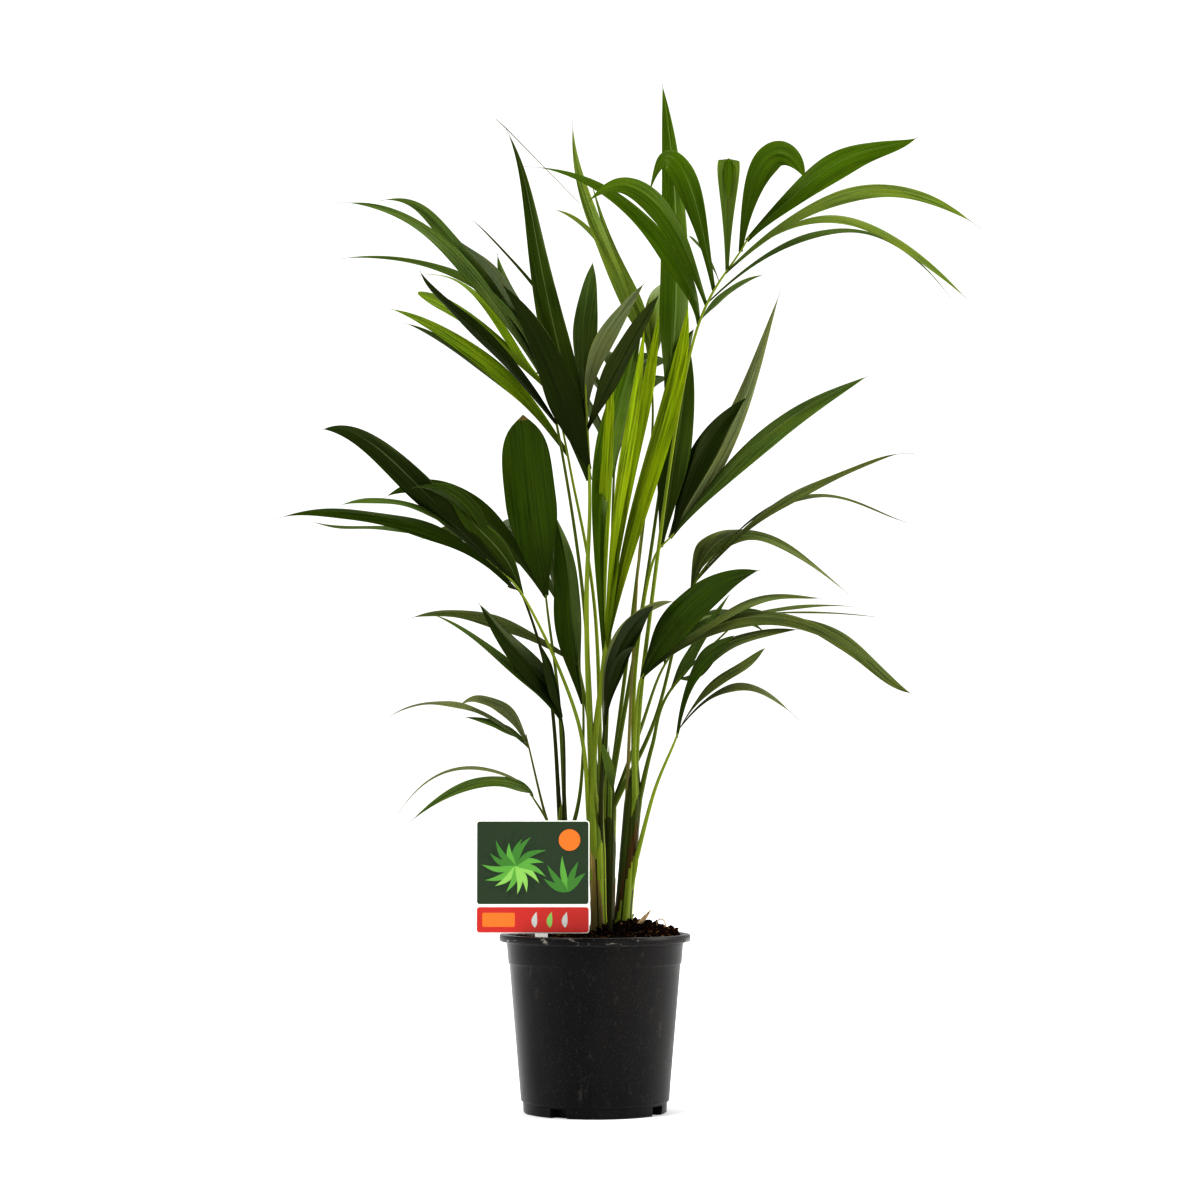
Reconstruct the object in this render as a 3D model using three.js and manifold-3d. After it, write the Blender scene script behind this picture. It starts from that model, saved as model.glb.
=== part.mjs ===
// Kentia palm in its nursery pot: four young stems in one black pot, with arching fronds of broad
// leaflets, and a blank picture label on a stake. Millimetres, +Z up. The pot's underside lies on
// Z = 0 and the pot's axis is the Z axis. -Y is the front, +X is right.
import * as THREE from "three";
import { mergeVertices } from "three/addons/utils/BufferGeometryUtils.js";
import Module from "manifold-3d";

const wasm = await Module();
wasm.setup();

// ---------------------------------------------------------------- driving dimensions
const GAP = 0.3; // running gap between neighbours

const POT_HEIGHT = 166;
const LIP_RADIUS = 90;
const LIP_HEIGHT = 7;
const NECK_RADIUS = 83; // wall just under the lip
const STEP_Z = 139; // stacking step in the wall
const STEP_RADIUS = 81.5;
const STEP_DEPTH = 1;
const WALL_FOOT_RADIUS = 69.4;
const FOOT_HEIGHT = 10.5;
const FOOT_TOP_RADIUS = 67.7;
const FOOT_RADIUS = 66.9;
const FOOT_INNER_RADIUS = 58;
const WALL = 1.6;
const FLOOR = 3;
const NOTCH_WIDTH = 17;
const NOTCH_HEIGHT = 7;
const NOTCH_DEPTH = 6;
const NOTCH_TURNS = [-120, -30, 60, 150]; // degrees from +X, 90 being to the back
const POT_SIDES = 36;

const SOIL_EDGE_Z = 160;
const SOIL_HEAP = 17; // height of the heap round the stems
const SOIL_HEAP_SPREAD = 46;
const SOIL_HEAP_X = 34;
const SOIL_HEAP_Y = 10;
const SOIL_RIPPLE = 1.2; // height of the lumps in its top
const SOIL_RIPPLE_X = 9;
const SOIL_RIPPLE_Y = 8;
const SOIL_SIDES = 24;
const SOIL_RINGS = 4;

const STEM_SINK = 4; // how deep the flat cut of every stem lies in the soil's top
const STEM_SIDES = 8;
const STEM_STEPS = 5;
const FLARE = 1.28; // root flare: radius at the cut over radius above it
const FLARE_HEIGHT = 22;
const POCKET_DEPTH = 60; // cutter that clears the soil over each flat foot
const POCKET_SIDES = 16;

const LABEL_WIDTH = 105;
const LABEL_HEIGHT = 104;
const LABEL_THICK = 1;
const LABEL_CORNER = 3;
const LABEL_X = -57.5;
const LABEL_Y = -49;
const LABEL_BASE_Z = 168.5;
const STAKE_WIDTH = 12;
const STAKE_SHIFT = 8; // the stake stands this far right of the card's middle
const STAKE_FOOT_Z = 112;
const STAKE_TIP = 14;
const STAKE_LAP = 4; // how far the stake runs up into the card

const PETIOLE_SIDES = 5;
const PETIOLE_STEPS = 9; // of a whole rod from foot to tip
const RIB_STEPS = 4; // of a rib that is a solid of its own
const RIB_TIP_SHARE = 0.3; // rib radius at its tip over the petiole's
const LEAFLET_SIDES = 3; // a flat blade with a low ridge along its middle
const LEAFLET_SPAN = Math.sqrt(3) / 2; // half the width of a three-sided unit bar
const LEAFLET_STEPS = 6;
const LEAFLET_THICKNESS = 0.0115; // of its length
const LEAFLET_THINNEST = 1;
const LEAFLET_ROOT_SINK = 0.5; // how far a leaflet starts behind the rib's middle
const SEEDLING_FOOT = [14, -17];
const SEEDLING_RADIUS = 1.3;
const SEEDLING_POCKET = 2.2; // radius of the clearing round the seedling's foot

// ---------------------------------------------------------------- materials
const finish = (color, roughness, metalness = 0) =>
  new THREE.MeshStandardMaterial({ color, roughness, metalness });
const PLASTIC = finish(0x151515, 0.45);
const PEAT = finish(0x2c1d14, 1);
const CARD = finish(0x5f8a3c, 0.4);
const STEM = finish(0x4a4a24, 0.7);
const PETIOLE = finish(0x566a2a, 0.6);
const LEAF_DARK = finish(0x23401a, 0.5);
const LEAF_FRESH = finish(0x3d6b1c, 0.5);
const LEAF_YOUNG = finish(0x8aa32c, 0.55);
const DRY = finish(0xb59a6a, 0.8);

// ---------------------------------------------------------------- solids
const radians = THREE.MathUtils.degToRad;
const vector = (at) => new THREE.Vector3(...at);

// A three.js geometry as a manifold solid.
function solid(geometry) {
  const plain = geometry.index ? geometry.toNonIndexed() : geometry.clone();
  plain.deleteAttribute("normal");
  plain.deleteAttribute("uv");
  const merged = mergeVertices(plain, 1e-4);
  const mesh = new wasm.Mesh({
    numProp: 3,
    vertProperties: new Float32Array(merged.attributes.position.array),
    triVerts: new Uint32Array(merged.index.array),
  });
  return new wasm.Manifold(mesh);
}

// A manifold solid as a three.js geometry.
function geometryOf(made) {
  const mesh = made.getMesh();
  const geometry = new THREE.BufferGeometry();
  geometry.setAttribute("position", new THREE.BufferAttribute(mesh.vertProperties, 3));
  geometry.setIndex(new THREE.BufferAttribute(mesh.triVerts, 1));
  const faceted = geometry.toNonIndexed();
  faceted.computeVertexNormals();
  return faceted;
}

function named(name, geometry, material) {
  const mesh = new THREE.Mesh(geometry, material);
  mesh.name = name;
  return mesh;
}

// A closed bar along a midline. frame(s) gives the middle, the side direction and the travel
// direction at s from 0 to 1; half(s) gives the half width and half thickness there.
function sweep(frame, half, sides, steps) {
  const bar = new THREE.CylinderGeometry(1, 1, 1, sides, steps);
  const place = bar.attributes.position;
  const point = new THREE.Vector3();
  for (let i = 0; i < place.count; i += 1) {
    const s = place.getY(i) + 0.5;
    const { middle, side, travel } = frame(s);
    const [wide, thick] = half(s);
    const normal = new THREE.Vector3().crossVectors(side, travel).normalize();
    point.copy(middle);
    point.addScaledVector(side, place.getX(i) * wide);
    point.addScaledVector(normal, place.getZ(i) * thick);
    place.setXYZ(i, point.x, point.y, point.z);
  }
  return bar;
}

// ---------------------------------------------------------------- pot, soil and label
function pot() {
  const lipFoot = POT_HEIGHT - LIP_HEIGHT;
  const outline = [
    [0, 0],
    [FOOT_RADIUS, 0],
    [FOOT_TOP_RADIUS, FOOT_HEIGHT],
    [WALL_FOOT_RADIUS, FOOT_HEIGHT + 1],
    [STEP_RADIUS - STEP_DEPTH, STEP_Z - 1],
    [STEP_RADIUS, STEP_Z],
    [NECK_RADIUS, lipFoot - 2],
    [LIP_RADIUS - 2, lipFoot],
    [LIP_RADIUS, lipFoot + 1.5],
    [LIP_RADIUS, POT_HEIGHT - 2],
    [LIP_RADIUS - 2, POT_HEIGHT],
    [NECK_RADIUS - WALL + 2, POT_HEIGHT],
    [NECK_RADIUS - WALL, lipFoot],
    [STEP_RADIUS - STEP_DEPTH - WALL, STEP_Z - 2],
    [WALL_FOOT_RADIUS - WALL, FOOT_HEIGHT + 1],
    [FOOT_INNER_RADIUS, FOOT_HEIGHT],
    [FOOT_INNER_RADIUS, FLOOR],
    [0, FLOOR],
  ];
  const wall = new THREE.LatheGeometry(
    outline.map(([radius, height]) => new THREE.Vector2(radius, height)),
    POT_SIDES,
  );
  wall.rotateX(Math.PI / 2);
  let made = solid(wall);
  for (const turn of NOTCH_TURNS) {
    const notch = new THREE.BoxGeometry(NOTCH_DEPTH * 2, NOTCH_WIDTH, NOTCH_HEIGHT * 2);
    notch.translate(FOOT_RADIUS, 0, 0);
    notch.rotateZ(radians(turn));
    made = made.subtract(solid(notch));
  }
  return named("pot", geometryOf(made), PLASTIC);
}

// Height of the soil's top at (x, y): flush below the lip, heaped round the stems.
function soilTop(x, y) {
  const away = ((x - SOIL_HEAP_X) ** 2 + (y - SOIL_HEAP_Y) ** 2) / SOIL_HEAP_SPREAD ** 2;
  const lumps = SOIL_RIPPLE * Math.sin(x / SOIL_RIPPLE_X) * Math.cos(y / SOIL_RIPPLE_Y);
  return SOIL_EDGE_Z + SOIL_HEAP * Math.exp(-away) + lumps;
}

const footLevel = ([x, y]) => soilTop(x, y) - STEM_SINK;

function soil(cutters) {
  const rim = NECK_RADIUS - WALL - GAP - 1;
  const top = Array.from({ length: SOIL_RINGS }, (_, ring) => [
    rim * (1 - ring / SOIL_RINGS),
    SOIL_EDGE_Z,
  ]);
  const outline = [
    [0, FLOOR + GAP],
    [FOOT_INNER_RADIUS - GAP, FLOOR + GAP],
    [FOOT_INNER_RADIUS - GAP, FOOT_HEIGHT + 2 * GAP],
    [WALL_FOOT_RADIUS - WALL - 3 * GAP, FOOT_HEIGHT + 2],
    [STEP_RADIUS - STEP_DEPTH - WALL - 2 * GAP, STEP_Z - 2],
    ...top,
    [0, SOIL_EDGE_Z],
  ];
  const fill = new THREE.LatheGeometry(
    outline.map(([radius, height]) => new THREE.Vector2(radius, height)),
    SOIL_SIDES,
  );
  fill.rotateX(Math.PI / 2);
  const place = fill.attributes.position;
  for (let i = 0; i < place.count; i += 1) {
    const [x, y] = [place.getX(i), place.getY(i)];
    if (Math.abs(place.getZ(i) - SOIL_EDGE_Z) > 1e-3) continue;
    place.setZ(i, soilTop(x, y));
  }
  let made = solid(fill);
  for (const cutter of cutters) made = made.subtract(solid(cutter));
  return named("soil", geometryOf(made), PEAT);
}

// The label's pointed stake, drawn in X and Z and grown all round.
function stakeOutline(grow) {
  const shape = new THREE.Shape();
  const half = STAKE_WIDTH / 2 + grow;
  const foot = STAKE_FOOT_Z - grow;
  shape.moveTo(STAKE_SHIFT, foot);
  shape.lineTo(STAKE_SHIFT + half, foot + STAKE_TIP);
  shape.lineTo(STAKE_SHIFT + half, LABEL_BASE_Z + STAKE_LAP);
  shape.lineTo(STAKE_SHIFT - half, LABEL_BASE_Z + STAKE_LAP);
  shape.lineTo(STAKE_SHIFT - half, foot + STAKE_TIP);
  shape.closePath();
  return shape;
}

// A plate standing at the label's place.
function upright(shape, thick) {
  const plate = new THREE.ExtrudeGeometry(shape, {
    depth: thick,
    bevelEnabled: false,
    curveSegments: 3,
  });
  plate.rotateX(Math.PI / 2);
  plate.translate(LABEL_X, LABEL_Y + thick / 2, 0);
  return plate;
}

function label() {
  const half = LABEL_WIDTH / 2;
  const [low, high] = [LABEL_BASE_Z, LABEL_BASE_Z + LABEL_HEIGHT];
  const card = new THREE.Shape();
  card.moveTo(-half + LABEL_CORNER, low);
  card.lineTo(half - LABEL_CORNER, low);
  card.absarc(half - LABEL_CORNER, low + LABEL_CORNER, LABEL_CORNER, -Math.PI / 2, 0);
  card.absarc(half - LABEL_CORNER, high - LABEL_CORNER, LABEL_CORNER, 0, Math.PI / 2);
  card.absarc(-half + LABEL_CORNER, high - LABEL_CORNER, LABEL_CORNER, Math.PI / 2, Math.PI);
  card.absarc(-half + LABEL_CORNER, low + LABEL_CORNER, LABEL_CORNER, Math.PI, Math.PI * 1.5);
  const made = solid(upright(card, LABEL_THICK)).add(solid(upright(stakeOutline(0), LABEL_THICK)));
  return named("label", geometryOf(made), CARD);
}

// The slit the stake leaves in the soil.
const labelSlot = () => upright(stakeOutline(GAP), LABEL_THICK + 2 * GAP);

// ---------------------------------------------------------------- stems
// Each stem: foot [x, y], top [x, y, z], radius under the fork and at the top.
const STEMS = {
  stem_centre: { foot: [4, -2], top: [1, -2, 262], radius: 6.4, topRadius: 7.8 },
  stem_right: { foot: [25, 10], top: [36, 12, 292], radius: 7.6, topRadius: 8.2 },
  stem_left: { foot: [-28, 6], top: [-31, 4, 246], radius: 6, topRadius: 7 },
  stem_back: { foot: [10, 38], top: [12, 46, 285], radius: 7, topRadius: 8.2 },
};

function stem(name) {
  const { foot, top, radius, topRadius } = STEMS[name];
  const low = vector([...foot, footLevel(foot)]);
  const high = vector(top);
  const height = high.z - low.z;
  const frame = (s) => ({
    middle: low.clone().lerp(high, s),
    side: new THREE.Vector3(1, 0, 0),
    travel: new THREE.Vector3(0, 0, 1),
  });
  const half = (s) => {
    const flare = 1 + (FLARE - 1) * Math.max(0, 1 - (s * height) / FLARE_HEIGHT) ** 2;
    const wide = (radius + (topRadius - radius) * s) * flare;
    return [wide, wide];
  };
  return named(name, geometryOf(solid(sweep(frame, half, STEM_SIDES, STEM_STEPS))), STEM);
}

// Clears the soil over a foot standing at [x, y].
function pocketAt(foot, radius) {
  const pocket = new THREE.CylinderGeometry(radius, radius, POCKET_DEPTH, POCKET_SIDES);
  pocket.rotateX(Math.PI / 2);
  pocket.translate(...foot, footLevel(foot) - GAP + POCKET_DEPTH / 2);
  return pocket;
}

const stemPocket = ({ foot, radius }) => pocketAt(foot, radius * FLARE + 2 * GAP);

// ---------------------------------------------------------------- fronds
// A frond's midline runs from its foot through its waist points to its collar, where the leaflets
// start, and on to the tip of its rib. A foot is [turn, share]: where it stands on its stem's top,
// by direction and share of the radius; three numbers are a place of its own.
// A leaflet is [along, turn, reach, lift, arch, width, roll, hook]: its place on the rib from
// collar 0 to tip 1, its heading in degrees from +X, 90 being to the back, how far out and up its
// tip is from its root, how far its midline bows off the straight line, its greatest width, how
// far it is rolled off face-up, and how far along that line the bend is shifted, in its lengths.
const FRONDS = {
  frond_top_right: {
    stem: "stem_right",
    foot: [0, 0],
    radius: 2.6,
    material: LEAF_FRESH,
    waist: [[49, 6, 442]],
    collar: [92, 6, 722],
    tip: [148, 8, 832],
    leaflets: [
      [0.1, 164, 176, 166, 40, 26, 70, 0],
      [0.28, 208, 137, 86, 50, 30, 74, 0.1],
      [0.42, 160, 62, 98, 42, 34, 70, 1.0],
      [0.62, 252, 36, 60, 42, 28, 52, 1.1],
      [0.8, -30, 78, 82, 38, 34, 66, 0.4],
      [1, 12, 174, 108, 16, 36, 62, 0],
      [0.92, -20, 234, 8, 46, 24, 34, 0],
      [0.88, -36, 244, -58, 48, 18, 30, 0],
      [0.6, 26, 248, -14, 54, 16, 34, 0],
      [0.22, 30, 40, 34, 2, 22, 40, 0],
      [0.72, 66, 150, 60, 40, 26, 30, 0],
    ],
  },
  frond_tall: {
    stem: "stem_back",
    foot: [0, 0],
    radius: 2.4,
    material: LEAF_FRESH,
    waist: [[46, 52, 480]],
    collar: [69, 60, 640],
    tip: [71, 62, 680],
    leaflets: [
      [1, 96, 40, 330, 6, 30, 0, 0],
      [0.6, 50, 42, 88, 6, 26, 40, 0],
    ],
  },
  frond_upper_pale: {
    stem: "stem_back",
    foot: [85, 0.72],
    radius: 2.2,
    material: LEAF_YOUNG,
    waist: [[36, 76, 470]],
    collar: [56, 86, 650],
    tip: [52, 90, 745],
    leaflets: [
      [0.3, 170, 80, 288, 6, 26, 66, 0],
      [0.65, 160, 62, 196, 10, 28, 62, 0],
      [1, 150, 110, 150, 24, 24, 60, 0],
      [0.5, 80, 120, 120, 30, 26, 30, 0],
    ],
  },
  young_fan: {
    stem: "stem_centre",
    foot: [0, 0],
    radius: 2.7,
    material: LEAF_YOUNG,
    waist: [[14, -8, 400]],
    collar: [17, -14, 480],
    tip: [18, -18, 545],
    leaflets: [
      [1, -32, 90, 222, -10, 30, 70, 0],
      [0.85, -50, 66, 217, 0, 28, 60, 0],
      [0.7, -72, 90, 210, 10, 26, 26, 0],
      [0.5, 75, 26, 190, -6, 14, 20, 0],
    ],
  },
  frond_upper_left: {
    stem: "stem_centre",
    foot: [100, 0.73],
    radius: 2.2,
    material: LEAF_DARK,
    waist: [[-10, -2, 470]],
    collar: [-36, -14, 645],
    tip: [-62, -24, 742],
    leaflets: [
      [0.1, 176, 168, 202, 52, 26, 68, 0],
      [0.25, 208, 219, 168, 36, 24, 50, 0],
      [0.75, 192, 184, 78, 30, 24, 44, 0],
      [0.05, 218, 154, 128, -2, 26, 42, 0],
      [0.9, 160, 36, 74, 14, 22, 50, 0],
      [1, 170, 70, 80, 14, 28, 60, 0],
    ],
  },
  frond_left_upright: {
    stem: "stem_centre",
    foot: [244, 0.73],
    radius: 2.2,
    material: LEAF_DARK,
    waist: [[-8, -24, 460]],
    collar: [-5, -38, 572],
    tip: [-9, -52, 680],
    leaflets: [
      [0.04, 216, 98, 338, 4, 32, 70, 0],
      [1, -80, 60, 104, 2, 28, 8, 0],
      [0.85, -20, 58, 107, 10, 24, 60, 0],
      [0.6, -54, 108, 118, 4, 30, 44, 0],
    ],
  },
  frond_left_bright: {
    stem: "stem_centre",
    foot: [28, 0.73],
    radius: 2.2,
    material: LEAF_YOUNG,
    waist: [[0, 24, 470]],
    collar: [-24, 34, 610],
    tip: [-42, 42, 700],
    leaflets: [
      [0.1, 158, 190, 152, 38, 26, 30, 0],
      [0.3, 150, 186, 126, 16, 28, 32, 0],
      [0.7, 150, 160, 124, 20, 26, 34, 0],
      [0.9, 140, 184, 132, 38, 26, 36, 0.1],
    ],
  },
  frond_left_broad: {
    stem: "stem_left",
    foot: [40, 0.72],
    radius: 2,
    material: LEAF_FRESH,
    waist: [[-34, 2, 380]],
    collar: [-45, -8, 470],
    tip: [-47, -10, 492],
    leaflets: [
      [1, 250, 62, 160, -4, 50, 28, 0],
      [0.3, 172, 158, 95, 34, 28, 46, 0],
    ],
  },
  frond_left_dark: {
    stem: "stem_centre",
    foot: [172, 0.73],
    radius: 2.2,
    material: LEAF_DARK,
    waist: [[-16, -30, 365]],
    collar: [-64, -56, 476],
    tip: [-106, -74, 520],
    leaflets: [
      [0.3, 210, 198, 131, 24, 34, 62, 0.2],
      [1, 204, 136, 42, 20, 24, 30, 0],
      [0.1, 216, 68, 75, 15, 30, 66, 0],
      [0.7, 234, 120, 60, 26, 28, 30, 0],
    ],
  },
  frond_left_long: {
    stem: "stem_left",
    foot: [100, 0.72],
    radius: 2,
    material: LEAF_DARK,
    waist: [[-42, -10, 390]],
    collar: [-66, -22, 478],
    tip: [-82, -28, 492],
    leaflets: [
      [1, 184, 222, 59, 34, 28, 40, 0],
      [0.6, 170, 196, 65, 15, 22, 30, 0],
    ],
  },
  frond_front_upright: {
    stem: "stem_left",
    foot: [340, 0.72],
    radius: 2,
    material: LEAF_DARK,
    waist: [[-14, 0, 300]],
    collar: [-11, -4, 375],
    tip: [-16, 0, 424],
    leaflets: [
      [0.2, 160, 30, 178, 2, 30, 72, 0],
      [1, 172, 158, 40, 30, 26, 28, 0],
    ],
  },
  frond_left_low: {
    stem: "stem_left",
    foot: [280, 0.72],
    radius: 2,
    material: LEAF_DARK,
    waist: [[-29, -14, 300]],
    collar: [-29, -34, 348],
    tip: [-31, -46, 368],
    leaflets: [
      [0.3, 214, 98, 116, 12, 30, 52, 0],
      [1, 202, 132, 94, 14, 22, 34, 0],
      [0.6, 244, 62, 74, 10, 28, 50, 0],
    ],
  },
  frond_lowest_back: {
    stem: "stem_left",
    foot: [160, 0.72],
    radius: 1.5,
    material: LEAF_DARK,
    waist: [[-48, 12, 280]],
    collar: [-62, 20, 337],
    tip: [-66, 22, 354],
    leaflets: [
      [0.2, 162, 143, 30, 28, 16, 26, 0],
      [1, 172, 68, 27, 24, 22, 48, 0],
      [0.6, 120, 110, 50, 26, 22, 40, 0],
    ],
  },
  frond_lowest_front: {
    stem: "stem_left",
    foot: [220, 0.72],
    radius: 1.4,
    material: LEAF_DARK,
    waist: [[-45, -12, 272]],
    collar: [-57, -22, 292],
    tip: [-61, -26, 297],
    leaflets: [
      [0.1, 194, 130, -15, 39, 14, 24, 0],
      [1, 212, 132, -26, 26, 22, 44, 0],
    ],
  },
  frond_right_upper: {
    stem: "stem_right",
    foot: [80, 0.72],
    radius: 2.4,
    material: LEAF_DARK,
    waist: [[38, 24, 410]],
    collar: [54, 28, 515],
    tip: [76, 32, 548],
    leaflets: [
      [1, 32, 130, 250, -6, 38, 66, 0],
      [0.9, 18, 206, 164, 24, 32, 58, 0],
      [0.1, 15, 36, 214, -6, 34, 76, 0],
    ],
  },
  frond_right: {
    stem: "stem_back",
    foot: [-20, 0.72],
    radius: 2.3,
    material: LEAF_DARK,
    waist: [[58, 50, 370]],
    collar: [92, 58, 492],
    tip: [138, 72, 552],
    leaflets: [
      [0.15, 8, 216, 124, 27, 24, 32, 0],
      [1, 18, 172, 10, 30, 18, 30, 0],
      [0.5, 20, 143, -28, 44, 28, 46, 0],
      [0.1, 50, 72, 56, 12, 28, 34, 0],
      [0.8, 78, 120, 10, 20, 26, 50, 0],
    ],
  },
  frond_right_front: {
    stem: "stem_right",
    foot: [285, 0.72],
    radius: 2.3,
    material: LEAF_FRESH,
    waist: [[37, -6, 340]],
    collar: [41, -20, 396],
    tip: [46, -26, 410],
    leaflets: [
      [1, -54, 174, 82, 27, 38, 46, 0],
      [0.2, -16, 175, 77, 26, 22, 40, 0],
      [0.5, -84, 110, 40, 22, 28, 20, 0],
    ],
  },
  frond_right_arch: {
    stem: "stem_right",
    foot: [0, 0.72],
    radius: 2.3,
    material: LEAF_DARK,
    waist: [[54, 10, 342]],
    collar: [72, 4, 396],
    tip: [140, -6, 466],
    leaflets: [
      [1, -14, 160, -74, 17, 24, 40, 0],
      [0.9, -4, 114, 14, 14, 20, 34, 0],
      [0.55, 30, 38, 58, 6, 18, 40, 0],
      [0.3, -30, 72, 35, 8, 24, 46, 0],
    ],
  },
  frond_right_low: {
    stem: "stem_right",
    foot: [38.8, 5.8, 236],
    radius: 2,
    material: LEAF_DARK,
    waist: [[56, -6, 300]],
    collar: [74, -18, 344],
    tip: [80, -22, 360],
    leaflets: [
      [0.3, -62, 104, 93, 22, 22, 40, 0],
      [0.6, -40, 100, 78, 14, 20, 36, 0],
      [1, -30, 116, 10, 33, 20, 34, 0],
    ],
  },
  frond_centre: {
    stem: "stem_centre",
    foot: [316, 0.73],
    radius: 2.1,
    material: LEAF_DARK,
    waist: [[6, -16, 310]],
    collar: [8, -26, 352],
    tip: [12, -36, 400],
    leaflets: [
      [0.2, -66, 100, 109, 2, 28, 36, 0],
      [1, -36, 75, 70, 26, 20, 34, 0],
      [0.6, 250, 80, 90, 14, 24, 30, 0],
    ],
  },
  frond_back_high: {
    stem: "stem_back",
    foot: [140, 0.72],
    radius: 2.3,
    material: LEAF_DARK,
    waist: [[14, 84, 450]],
    collar: [18, 112, 600],
    tip: [22, 150, 690],
    leaflets: [
      [0.1, 130, 130, 120, 34, 30, 60, 0],
      [0.15, 60, 120, 110, 34, 30, 60, 0],
      [0.55, 120, 130, 90, 34, 30, 54, 0],
      [0.6, 62, 130, 90, 34, 30, 54, 0],
      [1, 94, 130, 60, 30, 32, 50, 0],
    ],
  },
  frond_back_left: {
    stem: "stem_back",
    foot: [200, 0.72],
    radius: 2.2,
    material: LEAF_DARK,
    waist: [[-12, 66, 400]],
    collar: [-34, 92, 480],
    tip: [-62, 124, 530],
    leaflets: [
      [0.1, 178, 110, 90, 26, 28, 50, 0],
      [0.2, 100, 110, 80, 26, 28, 50, 0],
      [0.6, 165, 130, 50, 30, 28, 44, 0],
      [0.8, 115, 110, 60, 30, 28, 44, 0],
      [1, 140, 120, 20, 30, 30, 40, 0],
    ],
  },
  frond_back_right: {
    stem: "stem_back",
    foot: [35, 0.72],
    radius: 2.2,
    material: LEAF_DARK,
    waist: [[44, 76, 360]],
    collar: [66, 100, 420],
    tip: [96, 128, 460],
    leaflets: [
      [0.1, 84, 110, 70, 26, 28, 50, 0],
      [0.3, 20, 110, 60, 26, 28, 44, 0],
      [0.7, 78, 110, 50, 30, 28, 44, 0],
      [0.8, 12, 110, 30, 26, 26, 40, 0],
      [1, 44, 120, 10, 30, 30, 40, 0],
    ],
  },
  seedling_front: {
    stem: null,
    foot: [...SEEDLING_FOOT, footLevel(SEEDLING_FOOT)],
    radius: SEEDLING_RADIUS,
    material: LEAF_DARK,
    waist: [[16, -18, 240]],
    collar: [17, -19, 295],
    tip: [17, -20, 303],
    leaflets: [[1, 230, 18, 42, -2, 12, 40, 0]],
  },
  dry_petiole: {
    stem: "stem_right",
    foot: [190, 0.72],
    radius: 2.3,
    material: DRY,
    waist: [
      [34, 3, 392],
      [39, -1, 480],
    ],
    collar: [42, -2, 530],
    tip: [46, -3, 556],
    leaflets: [],
  },
};

// Point on the smooth curve through the points, at piece + part.
function onCurve(points, piece, part) {
  const [b, c] = [points[piece], points[piece + 1]];
  const a = points[piece - 1] ?? b.clone().multiplyScalar(2).sub(c);
  const d = points[piece + 2] ?? c.clone().multiplyScalar(2).sub(b);
  const [u, u2, u3] = [part, part ** 2, part ** 3];
  return new THREE.Vector3()
    .addScaledVector(a, -0.5 * u + u2 - 0.5 * u3)
    .addScaledVector(b, 1 - 2.5 * u2 + 1.5 * u3)
    .addScaledVector(c, 0.5 * u + 2 * u2 - 1.5 * u3)
    .addScaledVector(d, -0.5 * u2 + 0.5 * u3);
}

function footOf({ stem, foot, radius }) {
  if (foot.length === 3) return vector(foot);
  const { top, topRadius } = STEMS[stem];
  const out = topRadius * foot[1];
  const turn = radians(foot[0]);
  return new THREE.Vector3(
    top[0] + out * Math.cos(turn),
    top[1] + out * Math.sin(turn),
    top[2] + GAP,
  );
}

// The tapering rod of petiole and rib between two shares of its midline, the whole being 0 to 1; the
// travel direction is taken between near points.
function rodOf(frond, points, from, to, steps) {
  const last = points.length - 1;
  const at = (s) => {
    const along = Math.min(Math.max(s, 0), 1) * last;
    const piece = Math.min(Math.floor(along), last - 1);
    return onCurve(points, piece, along - piece);
  };
  const frame = (part) => {
    const s = from + (to - from) * part;
    const travel = at(s + 0.01).sub(at(s - 0.01)).normalize();
    if (s < 0.001) travel.set(0, 0, 1);
    const side = new THREE.Vector3(1, 0, 0).addScaledVector(travel, -travel.x).normalize();
    return { middle: at(s), side, travel };
  };
  const half = (part) => {
    const wide = frond.radius * (1 - (1 - RIB_TIP_SHARE) * (from + (to - from) * part));
    return [wide, wide];
  };
  return sweep(frame, half, PETIOLE_SIDES, steps);
}

// Share of the greatest width at s: a narrow root, widest at a third, a long point.
const bladeShare = (s) => Math.min(1, 0.12 + 2.9 * s) * (1 - s ** 2.4) + 0.02;

function leafletOf(root, [, turn, reach, lift, arch, width, roll, hook]) {
  const heading = new THREE.Vector3(Math.cos(radians(turn)), Math.sin(radians(turn)), 0);
  const chord = heading.clone().multiplyScalar(reach);
  chord.z = lift;
  const length = chord.length();
  const level = new THREE.Vector3(-heading.y, heading.x, 0);
  const above = new THREE.Vector3().crossVectors(chord, level).divideScalar(length);
  const bend = chord.clone().multiplyScalar(0.5 + hook).addScaledVector(above, 2 * arch);
  const start = root.clone().addScaledVector(bend.clone().normalize(), -LEAFLET_ROOT_SINK);
  const turned = radians(roll);
  const frame = (s) => {
    const middle = start.clone().addScaledVector(bend, 2 * s * (1 - s));
    middle.addScaledVector(chord, s * s);
    const travel = bend.clone().multiplyScalar(2 * (1 - 2 * s)).addScaledVector(chord, 2 * s);
    travel.normalize();
    const up = new THREE.Vector3().crossVectors(travel, level);
    const side = level.clone().multiplyScalar(Math.cos(turned));
    side.addScaledVector(up, Math.sin(turned));
    return { middle, side, travel };
  };
  const thick = Math.max(LEAFLET_THINNEST, length * LEAFLET_THICKNESS) / 1.5;
  const wide = width / 2 / LEAFLET_SPAN;
  const half = (s) => [wide * bladeShare(s), thick * Math.min(1, 1.3 * (1 - s) + 0.25)];
  return sweep(frame, half, LEAFLET_SIDES, LEAFLET_STEPS);
}

// Fronds that run on straight from their petioles, with no bend to part them at.
const STRAIGHT = [
  "frond_tall",
  "young_fan",
  "frond_left_upright",
  "frond_centre",
  "seedling_front",
  "dry_petiole",
];

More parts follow.
